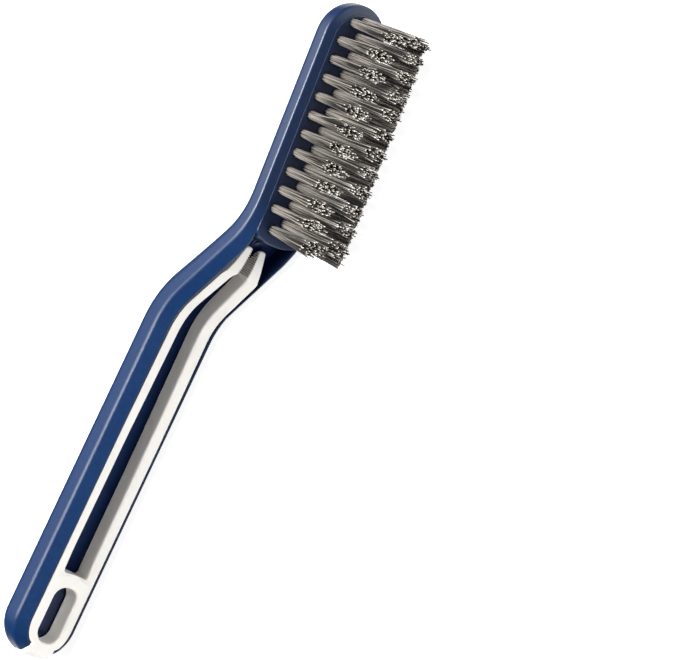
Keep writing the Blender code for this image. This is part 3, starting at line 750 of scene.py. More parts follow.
def slot_cutter(lines, bottom, top, bottom_flare, top_flare):
    """The hanging slot, flared where it leaves the bottom and the top level."""
    sizes = lines.sizes
    rings = [slot_ring(sizes, 2 * bottom_flare, lambda y: bottom(y) - OVERRUN)]
    turns = arc(0, SLOT_MOUTH_TURN, FILLET_STEPS + 2)
    for turn in reversed(turns):
        rings.append(slot_ring(sizes, bottom_flare * (1 - math.cos(turn)),
                               lambda y: bottom(y) + bottom_flare * (1 - math.sin(turn))))
    for turn in turns:
        rings.append(slot_ring(sizes, top_flare * (1 - math.cos(turn)),
                               lambda y: top(y) - top_flare * (1 - math.sin(turn))))
    rings.append(slot_ring(sizes, 2 * top_flare, lambda y: top(y) + OVERRUN))
    return bent_object("slot_cutter", rings, lines.bent)


class CREVICE_OT_body(bpy.types.Operator):
    """Builds the blue moulding: handle, neck and head with trough, plateau, boss, holes and slot"""
    bl_idname = "crevice.body"
    bl_label = "Brush Body"

    def execute(self, context):
        lines = BrushLines(context.scene.crevice_body)
        tufts = context.scene.crevice_tufts
        sizes = lines.sizes
        blue = blue_plastic(context.scene.crevice_finishes)
        body = bent_object("body_moulding", body_rings(lines), lines.bent, blue)
        cut(body, trough_cutter(lines))
        cut(body, plateau(lines), "UNION")
        cut(body, boss(lines), "UNION")
        cut(body, hole_cutters(lines, tufts))
        cut(body, slot_cutter(lines, lambda y: -sizes.handle_wall, lambda y: lines.floor_level(0),
                              sizes.slot_flare, sizes.rim_radius))
        body.data.transform(brush_place())
        shade(body, MOULDING_SHARP)
        even_normals(body)
        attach(body, "brush")
        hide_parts("brush_body")
        return {"FINISHED"}


# White tweezer

# The power by which the jaws' front sinks
JAW_CURVE = 1.35
# A tooth as shares of its pitch and of its depth
TOOTH_PROFILE = ((0.0, 0.0), (0.48, 0.0), (0.60, 1.0), (0.88, 1.0))
# The teeth end this share of the tip's rounding before the tip
TOOTH_END = 0.6
# Faces whose normal has more than this upward belong to the front
FRONT_FACING = 0.9
# The tab's nose falls back no farther than at this share of the rim's height
NOSE_LIMIT = 1.1


class TweezerLines:
    """The tweezer's outlines and levels in the flat drawing."""

    def __init__(self, lines, sizes):
        self.lines = lines
        self.sizes = sizes
        body = lines.sizes
        self.half_width = lines.trough_half_width(0) - sizes.side_gap
        self.end_inset = body.handle_end_run + body.rim_land + sizes.side_gap
        self.base_length = body.slot_from_end + body.slot_length + sizes.base_band
        self.root_inner = self.half_width - sizes.arm_root
        self.jaw_end = lines.crescent - sizes.jaw_before_crescent
        self.jaw_start = self.jaw_end - sizes.jaw_length
        self.table = self.half_widths()

    def base_end(self, y):
        radius = self.sizes.base_edge_radius
        return self.base_length - radius + math.sqrt(radius ** 2 - y ** 2)

    def jaw_share(self, s):
        """0 before the jaws and 1 at their tips."""
        start = self.jaw_start - self.sizes.jaw_sink_lead
        return min(max((s - start) / (self.jaw_end - start), 0.0), 1.0)

    def lean(self, s):
        """The jaws' teeth stand along the mould's draw, square to the handle, not the neck."""
        part = smooth_share(s, self.jaw_start - self.sizes.jaw_length / 2, self.jaw_start)
        return part * math.tan(self.lines.spine(self.jaw_start)[2])

    def bottom(self, s):
        seat = self.lines.floor_level(s) + self.sizes.seat_gap
        return seat + self.sizes.jaw_lift * self.jaw_share(s)

    def top(self, s):
        """The front at the arms' outer edges: level with the rim, and sinking along the jaws."""
        return self.lines.bevel_rise(s) - self.sizes.jaw_sink * self.jaw_share(s) ** JAW_CURVE

    def crown(self, s, y):
        """The base's rise over the rim, which fades out where the arms start."""
        sizes = self.sizes
        part = max(abs(y) - sizes.crown_flat, 0) / (self.half_width - sizes.crown_flat)
        start = self.base_length - sizes.base_band
        fade = smooth_share(s, start, self.base_length + 2 * sizes.base_band)
        return sizes.crown * (1 - part ** 2) * (1 - fade)

    def hinge_point(self):
        y = self.half_width - self.sizes.hinge_inset
        s = self.base_end(y) + self.sizes.hinge_from_root
        return self.lines.bent((s, y, (self.bottom(s) + self.top(s)) / 2))

    def half_widths(self):
        """(s, outer, inner) of an arm from its root to its tip."""
        sizes = self.sizes
        root = self.base_end(self.half_width)
        neck = self.lines.run_ends[1]
        neck_outer = self.half_width - sizes.neck_inset
        kink_outer = self.half_width - sizes.kink_inset
        return (
            (root, self.half_width, self.root_inner),
            ((root + neck) / 2, self.half_width, self.half_width - sizes.arm_middle),
            (neck, neck_outer, neck_outer - sizes.arm_neck),
            (self.jaw_start - sizes.kink_length, kink_outer, kink_outer - sizes.kink),
            (self.jaw_start, self.half_width - sizes.jaw_inset, sizes.jaw_root_inner),
            (self.jaw_end, sizes.jaw_tip_inner + sizes.jaw_tip_width, sizes.jaw_tip_inner),
        )

    def arm_at(self, s):
        """The arm's outer and inner distance from the middle line."""
        for (start, *first), (end, *last) in zip(self.table, self.table[1:]):
            if s <= end:
                part = max((s - start) / (end - start), 0.0)
                return tuple(between(low, high, part) for low, high in zip(first, last))
        return self.table[-1][1:]

    def arm_smooth(self, s):
        """The same with its corners rounded, as a mean over a short stretch."""
        reach = self.sizes.kink_length / 2
        found = [self.arm_at(s + reach * step) for step in (-1, -0.5, 0, 0.5, 1)]
        return tuple(sum(pair[side] for pair in found) / len(found) for side in (0, 1))

    def chains(self):
        """The outer and inner chains of the left half. A point is s, y and its edge radius. The
        inner chain runs on the middle line, along the base's edge, up the arm and over the
        teeth."""
        sizes, body = self.sizes, self.lines.sizes
        front, side = sizes.front_radius, sizes.outer_radius
        outer, inner = [], []
        tab = body.notch_half_width - sizes.side_gap
        for turn in arc(0, QUARTER_TURN, 2 * FILLET_STEPS):
            s = sizes.tab_from_end + sizes.tab_radius * (1 - math.cos(turn))
            outer.append((s, tab - sizes.tab_radius * (1 - math.sin(turn)), side))
            inner.append((s, 0, 0))
        shoulder = math.asin(tab / self.half_width)
        for here in arc(shoulder, QUARTER_TURN, END_STEPS):
            s, y = round_end(self.lines.half_width, self.end_inset, self.half_width, here)
            outer.append((s, y, side))
            inner.append((s, 0, 0))
        last = self.base_length - 2 * sizes.root_fillet
        for s in self.lines.stations(self.lines.half_width, last)[1:]:
            outer.append((s, self.half_width, side))
            inner.append((s, 0, 0))
        edge = self.base_edge()
        arm_start = edge[-1][0]
        for step, point in enumerate(edge, start=1):
            outer.append((between(last, arm_start, step / len(edge)), self.half_width, side))
            rounding = between(sizes.edge_radius, front, step / len(edge))
            inner.append((*point, rounding if point[1] else 0))
        for s in self.lines.stations(arm_start, self.jaw_start)[1:-1]:
            wide, narrow = self.arm_smooth(s)
            outer.append((s, wide, side))
            inner.append((s, narrow, front))
        self.add_jaw(outer, inner)
        return outer, inner

    def base_edge(self):
        """(s, y) of the base's edge, from the middle line to the arm's straight face."""
        sizes = self.sizes
        fillet = sizes.root_fillet
        arc_radius = sizes.base_edge_radius
        centre = self.base_length - arc_radius
        corner_y = self.root_inner - fillet
        corner_s = centre + math.sqrt((arc_radius + fillet) ** 2 - corner_y ** 2)
        touch = math.asin(corner_y / (arc_radius + fillet))
        points = []
        for turn in arc(0, touch, CRESCENT_STEPS):
            points.append((centre + arc_radius * math.cos(turn), arc_radius * math.sin(turn)))
        for turn in arc(touch, QUARTER_TURN, 2 * FILLET_STEPS)[1:]:
            points.append((corner_s - fillet * math.cos(turn), corner_y + fillet * math.sin(turn)))
        return points

    def add_jaw(self, outer, inner):
        sizes = self.sizes
        front, fine = sizes.jaw_front_radius, sizes.jaw_edge_radius
        teeth_length = sizes.jaw_length - TOOTH_END * sizes.jaw_tip_radius
        pitch = teeth_length / sizes.tooth_count
        for number in range(sizes.tooth_count):
            for along, depth in TOOTH_PROFILE:
                s = self.jaw_start + pitch * (number + along)
                wide, narrow = self.arm_smooth(s)
                outer.append((s, wide, front))
                inner.append((s, narrow + sizes.tooth_depth * depth, fine))
        start = self.jaw_start + teeth_length
        wide, narrow = self.arm_smooth(start)
        middle = (wide + narrow) / 2
        for turn in arc(0, QUARTER_TURN, 2 * FILLET_STEPS)[:-1]:
            s = start + (self.jaw_end - start) * math.sin(turn)
            outer.append((s, middle + (wide - middle) * math.cos(turn), front))
            inner.append((s, middle + (narrow - middle) * math.cos(turn), front))


def inward(points):
    """Unit normals of an open chain, toward the right of its run."""
    found = []
    for number, point in enumerate(points):
        before = points[max(number - 1, 0)]
        after = points[min(number + 1, len(points) - 1)]
        along = Vector((after[0] - before[0], after[1] - before[1]))
        along = along.normalized() if along.length else Vector((1, 0))
        found.append(Vector((along.y, -along.x)))
    return found


def tweezer_half(parts):
    """The left half of the tweezer: half of the base and the left arm."""
    sizes = parts.sizes
    outer, inner = parts.chains()
    inner = inner[::-1]
    normals = inward(outer) + inward(inner)
    bottom_share = sizes.bottom_radius / sizes.front_radius

    def ring(amount, level):
        """Each point is drawn in by an amount of its own edge radius, and leans as the teeth do."""
        points = []
        for (s, y, radius), normal in zip(outer + inner, normals):
            move = normal * radius * amount
            s, y = s + move.x, y + move.y
            z = level(s, y, radius)
            points.append((s + parts.lean(s) * (z - parts.top(s)), y, z))
        return points

    rings = [
        ring(bottom_share, lambda s, y, radius: parts.bottom(s)),
        ring(0, lambda s, y, radius: parts.bottom(s) + bottom_share * radius),
        ring(0, lambda s, y, radius: (parts.bottom(s) + parts.top(s)) / 2),
    ]
    for turn in arc(0, QUARTER_TURN, FILLET_STEPS + 1):
        drop = 1 - math.sin(turn)
        rings.append(ring(1 - math.cos(turn),
                          lambda s, y, radius: parts.top(s) + parts.crown(s, y) - drop * radius))
    shape = ring_shape(rings, cuts=CROWN_CUTS)
    crown_front(shape, parts)
    return shape


def crown_front(shape, parts):
    """Gives the vertices inside the front their crown, and lets the tab's nose fall away."""
    sizes = parts.sizes
    nose = parts.lines.half_width / 2
    fall = sizes.tab_front_from_end - sizes.tab_from_end
    bmesh.ops.recalc_face_normals(shape, faces=shape.faces)
    for vert in shape.verts:
        s, y, z = vert.co
        if all(face.normal.z > FRONT_FACING for face in vert.link_faces):
            vert.co.z = parts.top(s) + parts.crown(s, y)
        if s < nose and z > 0:
            climb = min(z / parts.lines.bevel_rise(0), NOSE_LIMIT)
            vert.co.x += fall * climb ** 2 * (1 - s / nose)


class CREVICE_OT_tweezer(bpy.types.Operator):
    """Builds the white tweezer as two halves that meet in the middle, one arm in each"""
    bl_idname = "crevice.tweezer"
    bl_label = "Tweezer"

    def execute(self, context):
        lines = BrushLines(context.scene.crevice_body)
        parts = TweezerLines(lines, context.scene.crevice_tweezer)
        place = brush_place()
        white = white_plastic(context.scene.crevice_finishes)
        for label, side in (("left", 1), ("right", -1)):
            shape = tweezer_half(parts)
            if side < 0:
                bmesh.ops.scale(shape, vec=(1, -1, 1), verts=shape.verts)
            place_flat(shape, lines.bent)
            half = object_of("tweezer_half_" + label, shape, white)
            cut(half, slot_cutter(lines, lambda y: parts.bottom(0),
                                  lambda y: parts.top(0) + parts.crown(0, y),
                                  parts.sizes.slot_foot_flare, parts.sizes.slot_flare))
            half.data.transform(place)
            shade(half, MOULDING_SHARP)
            even_normals(half)
            root = parts.hinge_point()
            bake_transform(half)
            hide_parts("tweezer_arm_" + label, "tweezer_base")
        return {"FINISHED"}


# Bristles

def row_places(lines, tufts, side):
    """(t, y, lean) of the tufts of the left (1), centre (0) or right (-1) row, head's end first."""
    pitch = tuft_pitch(lines, tufts)
    leans = [-tufts.row_lean * between(tufts.first_lean, 1, number / (tufts.per_row - 2))
             for number in range(tufts.per_row - 1)]
    if side:
        end_y = side * tufts.end_foot * tufts.row_spacing
        spots = [(tufts.side_end, end_y)]
        spots += [(tufts.side_first + pitch * number, side * tufts.row_spacing)
                  for number in range(tufts.per_row - 2)]
        spots.append((lines.plateau_length - tufts.side_last, end_y))
    else:
        leans = leans[:1] + leans[:-1]
        spots = [(tufts.centre_end, 0.0)]
        spots += [(tufts.centre_first + pitch * number, 0.0) for number in range(tufts.per_row - 1)]
    return [(*spot, lean) for spot, lean in zip(spots, leans + [-tufts.last_lean])]


def tuft_pitch(lines, tufts):
    run = lines.plateau_length - tufts.side_before_crescent - tufts.side_first
    return run / (tufts.per_row - 3)


def tuft_frame(lines, spot):
    """Where a tuft stands in the brush frame: on the plateau, square to it or leaning."""
    t, y, lean = spot
    turn = Matrix.Rotation(-lines.head_slope + lean, 4, "Y")
    return Matrix.Translation(lines.on_head((t, y, lines.field))) @ turn


STRAND_SIDES = 6
GOLDEN_ANGLE = math.pi * (3 - math.sqrt(5))
ROOT_DEPTH = 0.0012
# Shares of the strand's height at its rings
STRAND_HEIGHT_SHARES = (0.0, 0.06, 0.20, 0.40, 0.62, 0.82, 1.0)
# The sideways reach grows by this power of that share
REACH_POWER = 1.25
# How the strands of a tuft differ: their roots' turn, their reach, tips and heights
TURN_JITTER = 0.2
LOOSENESS = 0.06
TIP_SCATTER = (0.00018, 0.00022)
HEIGHT_SCATTER = 0.00024
# Some strands stray farther
STRAY_SHARE = 0.02
STRAY_SCATTER = (0.0009, 0.0011)
# A strand waves a little, through this angle from root to tip
WAVE_SCATTER = 0.00011
WAVE_ANGLE = 7
# The slope of a cut end
CUT_SCATTER = 0.4
# Each row draws from seeds of its own
ROW_SEEDS = 100


class Strand:
    """One filament: its root in the bundle, its tip at the trim and its slight waves."""

    def __init__(self, chance, number, reach, foot, tufts):
        radius = math.sqrt((number + 0.5) / tufts.strands)
        turn = number * GOLDEN_ANGLE + chance.uniform(-TURN_JITTER, TURN_JITTER)
        x, y = radius * math.cos(turn), radius * math.sin(turn)
        self.root = Vector((x, y)) * (tufts.bundle_radius - tufts.strand_radius)
        along, across, shift = reach
        loose = 1.0 + abs(chance.gauss(0, LOOSENESS))
        self.tip = Vector((x * along * loose + chance.gauss(0, TIP_SCATTER[0]),
                           y * across * loose + shift + chance.gauss(0, TIP_SCATTER[1])))
        # The cut slants to both sides, but it is flat on the centre row's right
        off = foot + self.tip.y
        fall = 0.0 if not foot and off < 0 else math.copysign(tufts.trim_fall, off)
        self.height = tufts.trim_peak - fall * off + chance.gauss(0, HEIGHT_SCATTER)
        if chance.random() < STRAY_SHARE:
            self.tip += Vector([chance.gauss(0, scatter) for scatter in STRAY_SCATTER])
        self.wave = Vector((chance.gauss(0, WAVE_SCATTER), chance.gauss(0, WAVE_SCATTER)))
        self.wave_turn = chance.uniform(0, FULL_TURN)
        self.cut = Vector((chance.gauss(0, CUT_SCATTER), chance.gauss(-fall, CUT_SCATTER)))
        self.shade = chance.random()

    def centre(self, part):
        """The strand's middle at a share of its height. Its wave comes in over the lower half."""
        side = self.root.lerp(self.tip, part ** REACH_POWER)
        side = side + self.wave * math.sin(self.wave_turn + WAVE_ANGLE * part) * min(1.0, 2 * part)
        return Vector((side.x, side.y, between(-ROOT_DEPTH, self.height, part)))


def tuft_shape(lines, tufts, side, number):
    """One tuft in its own frame, all its strands grown ring by ring at once."""
    chance = random.Random(ROW_SEEDS * (side + 2) + number)
    foot = side * tufts.row_spacing
    along = tufts.tip_along * tuft_pitch(lines, tufts)
    if number == tufts.per_row:
        along *= tufts.end_spread
    if side and number in (1, tufts.per_row):
        reach = (along, tufts.row_spacing * tufts.end_across, foot * tufts.end_shift)
        foot *= tufts.end_foot
    else:
        reach = (along, tufts.row_spacing * tufts.tip_across, foot * tufts.tip_shift)
    strands = [Strand(chance, item, reach, foot, tufts) for item in range(tufts.strands)]

    shape = bmesh.new()
    owner = shape.verts.layers.int.new("owner")
    corner = shape.verts.layers.int.new("corner")
    shade_layer = shape.verts.layers.float.new("strand_shade")
    height_layer = shape.verts.layers.float.new("strand_height")
    for item, strand in enumerate(strands):
        ring = bmesh.ops.create_circle(shape, cap_ends=False, segments=STRAND_SIDES, radius=1)
        for place, vert in enumerate(ring["verts"]):
            vert[owner], vert[corner], vert[shade_layer] = item, place, strand.shade

    def settle(verts, part):
        for vert in verts:
            turn = FULL_TURN * vert[corner] / STRAND_SIDES
            rim = Vector((math.cos(turn), math.sin(turn), 0)) * tufts.strand_radius
            strand = strands[vert[owner]]
            vert.co = strand.centre(part) + rim
            if part == 1:
                vert.co.z += strand.cut.dot(rim.xy)
            vert[height_layer] = part

    edges = list(shape.edges)
    settle(shape.verts, STRAND_HEIGHT_SHARES[0])
    for part in STRAND_HEIGHT_SHARES[1:]:
        verts, edges = grow_ring(shape, edges)
        settle(verts, part)
    open_edges = [edge for edge in shape.edges if edge.is_boundary]
    for face in bmesh.ops.holes_fill(shape, edges=open_edges, sides=0)["faces"]:
        if all(vert[height_layer] == 1 for vert in face.verts):
            face.material_index = 1
    bmesh.ops.recalc_face_normals(shape, faces=shape.faces)
    return shape


class CREVICE_OT_tufts(bpy.types.Operator):
    """Builds the three rows of bristle tufts, each tuft a bundle of filaments cut at a slant"""
    bl_idname = "crevice.tufts"
    bl_label = "Bristle Tufts"

    def execute(self, context):
        lines = BrushLines(context.scene.crevice_body)
        tufts = context.scene.crevice_tufts
        finishes = context.scene.crevice_finishes
        place = brush_place()
        looks = (bristle_nylon(finishes), bristle_cut_end(finishes))
        for label, side in (("left", 1), ("centre", 0), ("right", -1)):
            for number, spot in enumerate(row_places(lines, tufts, side), start=1):
                shape = tuft_shape(lines, tufts, side, number)
                shape.transform(place @ tuft_frame(lines, spot))
                name = f"{label}_{number:02d}"
                tuft = object_of("bristles_" + name, shape, *looks)
                shade(tuft, STRAND_SHARP)
                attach(tuft, "brush")
                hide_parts("tuft_" + name)
        return {"FINISHED"}


# Finishes

# Where the body's look changes along X, from the handle's to the head's: the painted sheen over the
# head, the painted shade that stays in the handle's trough, and the specular level
SHEEN_BAND = (0.03, 0.06)
TROUGH_BAND = (0.038, 0.055)
SHINE_BAND = (0.0, 0.06)
# Rays by which edges and recesses are found
EDGE_SAMPLES = 6
RECESS_SAMPLES = 8
# Where the floor goes from near to far, how far its near part is stretched, and its far glow
FLOOR_BAND = (0.07, 0.22)
FLOOR_STRETCH = (0.45, 1, 1)
FLOOR_FAR_GLOW = 1.1


class Finish:
    """A Principled material with a small kit for its nodes. Patterns lie on Object coordinates."""

    def __init__(self, name, base, roughness, specular=0.5):
        self.look = bpy.data.materials.new(name)
        self.look.use_nodes = True
        self.look.diffuse_color = (*base, 1)
        self.tree = self.look.node_tree
        self.shader = self.tree.nodes["Principled BSDF"]
        self.set("Base Color", (*base, 1))
        self.set("Roughness", roughness)
        self.set("Specular IOR Level", specular)
        self.place = self.node("TexCoord", {}, "Object")

    def feed(self, socket, value):
        """Links a socket where the value is one, and sets it where not."""
        if isinstance(value, bpy.types.NodeSocket):
            self.tree.links.new(value, socket)
        else:
            socket.default_value = value

    def set(self, name, value):
        self.feed(self.shader.inputs[name], value)

    def node(self, kind, inputs, output, **settings):
        """A new node's output. Its inputs go by their names or numbers."""
        made = self.tree.nodes.new("ShaderNode" + kind)
        for name, value in settings.items():
            setattr(made, name, value)
        for name, value in inputs.items():
            self.feed(made.inputs[name], value)
        return made.outputs[output]

    def noise(self, scale, detail=3.0, roughness=0.5):
        return self.node("TexNoise", {"Vector": self.place, "Scale": scale, "Detail": detail,
                                      "Roughness": roughness}, "Fac")

    def spread(self, value, low, high, to_low=0.0, to_high=1.0):
        """Takes a value's range to another range."""
        return self.node("MapRange", {"Value": value, "From Min": low, "From Max": high,
                                      "To Min": to_low, "To Max": to_high}, "Result")

    def mix(self, amount, first, second):
        """A colour between two, where each is a colour or a socket."""
        first, second = (value if isinstance(value, bpy.types.NodeSocket) else (*value, 1)
                         for value in (first, second))
        return self.node("Mix", {"Factor": amount, 6: first, 7: second}, 2, data_type="RGBA")

    def multiply(self, first, second):
        return self.node("Math", {0: first, 1: second}, 0, operation="MULTIPLY")

    def attribute(self, name):
        return self.node("Attribute", {}, "Fac", attribute_name=name)

    def edges(self, radius):
        """1 on edges and in corners, 0 on flat places."""
        rounded = self.node("Bevel", {"Radius": radius}, "Normal", samples=EDGE_SAMPLES)
        plain = self.node("NewGeometry", {}, "Normal")
        likeness = self.node("VectorMath", {0: rounded, 1: plain}, "Value", operation="DOT_PRODUCT")
        return self.spread(likeness, 0.99, 0.80)

    def along(self, band, to_low, to_high):
        """A value that changes over a band along X."""
        x = self.node("SeparateXYZ", {"Vector": self.place}, "X")
        return self.spread(x, *band, to_low, to_high)

    def recesses(self, distance, start, end):
        """Ambient occlusion as a share, 1 in corners, grooves and holes and 0 in the open, for
        painting shade there.
        """
        shelter = self.node("AmbientOcclusion", {"Distance": distance}, "AO",
                            samples=RECESS_SAMPLES)
        return self.spread(shelter, start, end)

    def bump(self, height, strength, distance):
        self.set("Normal", self.node("Bump", {"Height": height, "Strength": strength,
                                              "Distance": distance}, "Normal"))


def scaled(tint, amount):
    return tuple(amount * value for value in tint)


def blue_plastic(finishes):
    """Satin moulded plastic: faint mottling, fine grain, paler edges from wear and a painted
    highlight, a painted sheen over the head and painted shade in the trough and hollows.
    """
    made = Finish("blue_plastic", finishes.blue, roughness=0.34, specular=0.32)
    mottling = made.spread(made.noise(scale=700, detail=4), 0.35, 0.65)
    tint = made.mix(mottling, scaled(finishes.blue, 0.82), finishes.blue)
    # Painted sheen: the head is greyed toward a pale blue, as the floor's reflection would make it
    with_painted_sheen = made.mix(made.along(SHEEN_BAND, 0, 0.16), tint, finishes.blue_painted_sheen)
    # The edges are painted lighter: partly wear, partly a painted highlight standing in for the
    # glints on edges and ridges
    wear = made.spread(made.noise(scale=260), 0.3, 0.7, 0.25, 1)
    worn = made.mix(made.multiply(made.edges(0.4 * MM), wear), with_painted_sheen, finishes.blue_edge_wear_and_highlight)
    # Painted shade: ambient occlusion darkens the handle's trough, slot and hollows toward the dark
    # blue and dims their specular level
    painted_shade_share = made.multiply(made.recesses(16 * MM, 0.85, 0.45), made.along(TROUGH_BAND, 1, 0))
    made.set("Base Color", made.mix(painted_shade_share, worn, finishes.blue_painted_shade))
    shine = made.along(SHINE_BAND, 0.26, 0.5)
    made.set("Specular IOR Level", made.multiply(shine, made.spread(painted_shade_share, 0, 1, 1, 0.25)))
    grain = made.noise(scale=1500, detail=5, roughness=0.65)
    made.set("Roughness", made.spread(grain, 0.3, 0.7, 0.26, 0.40))
    made.bump(made.noise(scale=2600, detail=4), strength=0.25, distance=0.02 * MM)
    return made.look


def white_plastic(finishes):
    """Satin white plastic: soft cloudy variation in the tone, a little wear on the edges, and
    painted shade in its corners, gaps and the grooves between its teeth.
    """
    made = Finish("white_plastic", finishes.white, roughness=0.42)
    cloud = made.spread(made.noise(scale=120), 0.35, 0.7)
    tint = made.mix(cloud, finishes.white, scaled(finishes.white, 0.96))
    wear = made.spread(made.noise(scale=420, detail=4), 0.45, 0.8, 0, 0.2)
    worn = made.mix(made.multiply(made.edges(0.35 * MM), wear), tint, finishes.white_worn)
    # Painted shade: ambient occlusion darkens the corners, gaps and the teeth's grooves toward the
    # dark brown
    painted_shade_share = made.recesses(0.8 * MM, 0.62, 0.15)
    made.set("Base Color", made.mix(painted_shade_share, worn, finishes.white_painted_shade))
    made.set("Roughness", made.spread(made.noise(scale=900, detail=4), 0.3, 0.7, 0.36, 0.50))
    made.bump(made.noise(scale=2200), strength=0.2, distance=0.015 * MM)
    return made.look


def bristle_nylon(finishes):
    """Grey nylon filaments, each with its own tone, the dark tones stronger toward the tips as
    partly painted shade between the strands, and painted shade deep in the tufts, darker toward the
    root.
    """
    made = Finish("grey_bristle", finishes.bristle, roughness=0.42)
    tone = made.spread(made.attribute("strand_shade"), 0.3, 0.95, 1, 0)
    height = made.spread(made.attribute("strand_height"), 0.1, 0.65, 0.3, 1)
    # Dark filament tones grow toward the tips: partly each strand's own tone, partly painted shade
    # for the dark gaps between strands
    toned = made.mix(made.multiply(tone, height), finishes.bristle, finishes.bristle_dark_and_shade)
    # Painted shade: ambient occlusion darkens the filaments deep in and between the tufts
    painted_shade_share = made.recesses(2.5 * MM, 0.7, 0.3)
    made.set("Base Color", made.mix(painted_shade_share, toned, finishes.bristle_dark_and_shade))
    made.set("Roughness", made.spread(made.noise(scale=3000, detail=2), 0.3, 0.7, 0.34, 0.52))
    made.bump(made.noise(scale=1800), strength=0.2, distance=0.02 * MM)
    return made.look


def bristle_cut_end(finishes):
    """The cut ends: paler and duller than the filaments' sides, a share of them dark as painted
    shade between the ends.
    """
    made = Finish("grey_bristle_cut", finishes.bristle_cut, roughness=0.6)
    # Painted shade: a share of the cut ends goes dark, for the shadows between the bright ends
    tone = made.spread(made.attribute("strand_shade"), 0.2, 0.55, 0, 1)
    made.set("Base Color", made.mix(tone, finishes.bristle_dark_and_shade, finishes.bristle_cut))
    made.bump(made.noise(scale=4200), strength=0.4, distance=0.03 * MM)
    return made.look


def pale_floor(settings):
    """Pale near the brush. What the picture adds to it hides its shadows and lights nothing."""
    made = Finish("pale_floor", settings.floor, roughness=0.7, specular=0.0)
    near = made.mix(made.noise(scale=8, detail=2), settings.floor, scaled(settings.floor, 0.985))
    flat = made.node("Mapping", {"Vector": made.place, "Scale": FLOOR_STRETCH}, "Vector")
    reach = made.node("VectorMath", {0: flat}, "Value", operation="LENGTH")
    far = made.spread(reach, *FLOOR_BAND)
    made.set("Base Color", made.mix(far, near, settings.floor_far))
    glow = made.spread(reach, *FLOOR_BAND, settings.floor_glow, FLOOR_FAR_GLOW)
    made.set("Emission Color", (1, 1, 1, 1))
    made.set("Emission Strength", made.multiply(made.node("LightPath", {}, "Is Camera Ray"), glow))
    return made.look


# Stage

SENSOR_WIDTH = 36
CAMERA_REACH = (0.1, 100)
# The top light's height over the floor and its spread, in degrees
TOP_ELEVATION = 79
TOP_SPREAD = 44


def aimed(azimuth, elevation, distance=0.0, roll=0.0, target=(0, 0, 0)):
    """A place that looks at the target, down and along +Y at azimuth 0. Angles are in radians."""
    look = Euler((QUARTER_TURN - elevation, 0, azimuth), "XYZ").to_matrix().to_4x4()
    turn = look @ Matrix.Rotation(roll, 4, "Z")
    back = turn.to_3x3() @ Vector((0, 0, 1))
    return Matrix.Translation(Vector(target) + back * distance) @ turn


def add_holder(data, place):
    """Puts a camera or a light in the scene."""
    holder = bpy.data.objects.new(data.name, data)
    holder.matrix_world = place
    bpy.context.scene.collection.objects.link(holder)
    return holder


def add_camera(settings):
    camera = bpy.data.cameras.new("photo_camera")
    camera.lens = settings.lens
    camera.sensor_width = SENSOR_WIDTH
    camera.clip_start, camera.clip_end = CAMERA_REACH
    distance = settings.picture_width * settings.lens / camera.sensor_width
    place = aimed(settings.azimuth, settings.elevation, distance, settings.roll, settings.target)
    bpy.context.scene.camera = add_holder(camera, place)


def add_box_light(name, power, azimuth, elevation, distance, size, mirrored=True):
    """A softbox that faces the brush and doesn't show itself. Its angles are in degrees."""
    light = bpy.data.lights.new(name, "AREA")
    light.shape = "RECTANGLE"
    light.size, light.size_y = size
    light.energy = power
    holder = add_holder(light, aimed(math.radians(azimuth), math.radians(elevation), distance))
    holder.visible_camera = False
    holder.visible_glossy = mirrored


def add_top_light(settings):
    light = bpy.data.lights.new("top_light", "SUN")
    light.energy = settings.top_strength
    light.angle = math.radians(TOP_SPREAD)
    add_holder(light, aimed(math.pi, math.radians(TOP_ELEVATION)))


def add_floor(settings):
    shape = bmesh.new()
    bmesh.ops.create_grid(shape, x_segments=4, y_segments=4, size=settings.floor_size / 2)
    floor = object_of("floor", shape, pale_floor(settings))


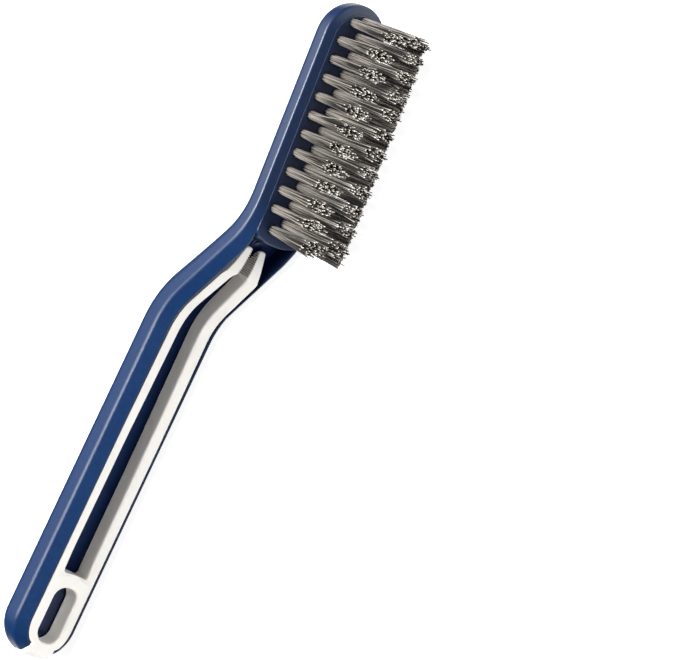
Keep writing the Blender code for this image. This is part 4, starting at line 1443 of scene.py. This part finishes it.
class CREVICE_OT_stage(bpy.types.Operator):
    """Adds the camera at the photograph's angle, a pale floor and soft studio lights"""
    bl_idname = "crevice.stage"
    bl_label = "Stage"

    def execute(self, context):
        settings = context.scene.crevice_stage
        add_camera(settings)
        add_floor(settings)
        add_top_light(settings)
        add_box_light("head_box", settings.head_power, azimuth=90, elevation=89, distance=1.0,
                      size=(0.25, 0.25))
        add_box_light("back_box", settings.back_power, azimuth=180, elevation=42, distance=2.0,
                      size=(2.4, 1.1))
        add_box_light("front_box", settings.front_power, azimuth=0, elevation=16, distance=2.2,
                      size=(3.0, 0.7), mirrored=False)
        world = bpy.data.worlds.new("soft_sky")
        world.use_nodes = True
        sky = world.node_tree.nodes["Background"]
        sky.inputs["Color"].default_value = (*settings.sky, 1)
        sky.inputs["Strength"].default_value = settings.sky_strength
        context.scene.world = world
        context.scene.view_settings.view_transform = "Standard"
        return {"FINISHED"}


class CREVICE_PT_panel(bpy.types.Panel):
    """Lists the brush's pieces in the sidebar"""
    bl_idname = "CREVICE_PT_panel"
    bl_label = "Crevice Brush"
    bl_space_type = "VIEW_3D"
    bl_region_type = "UI"
    bl_category = "Crevice Brush"

    def draw(self, context):
        column = self.layout.column()
        for operator in OPERATORS:
            column.operator(operator.bl_idname)


OPERATORS = (CREVICE_OT_stage, CREVICE_OT_body, CREVICE_OT_tweezer, CREVICE_OT_tufts)
GROUPS = {
    "crevice_body": CreviceBodySizes,
    "crevice_tweezer": CreviceTweezerSizes,
    "crevice_tufts": CreviceTuftSizes,
    "crevice_finishes": CreviceFinishes,
    "crevice_stage": CreviceStageSettings,
}


def register():
    for group in GROUPS.values():
        bpy.utils.register_class(group)
    for operator in OPERATORS:
        bpy.utils.register_class(operator)
    bpy.utils.register_class(CREVICE_PT_panel)
    for name, group in GROUPS.items():
        setattr(bpy.types.Scene, name, PointerProperty(type=group))


def unregister():
    for name in GROUPS:
        delattr(bpy.types.Scene, name)
    bpy.utils.unregister_class(CREVICE_PT_panel)
    for operator in reversed(OPERATORS):
        bpy.utils.unregister_class(operator)
    for group in reversed(GROUPS.values()):
        bpy.utils.unregister_class(group)


def main():
    register()
    bpy.ops.crevice.stage()
    bpy.ops.crevice.body()
    bpy.ops.crevice.tweezer()
    bpy.ops.crevice.tufts()


if __name__ == "__main__":
    main()
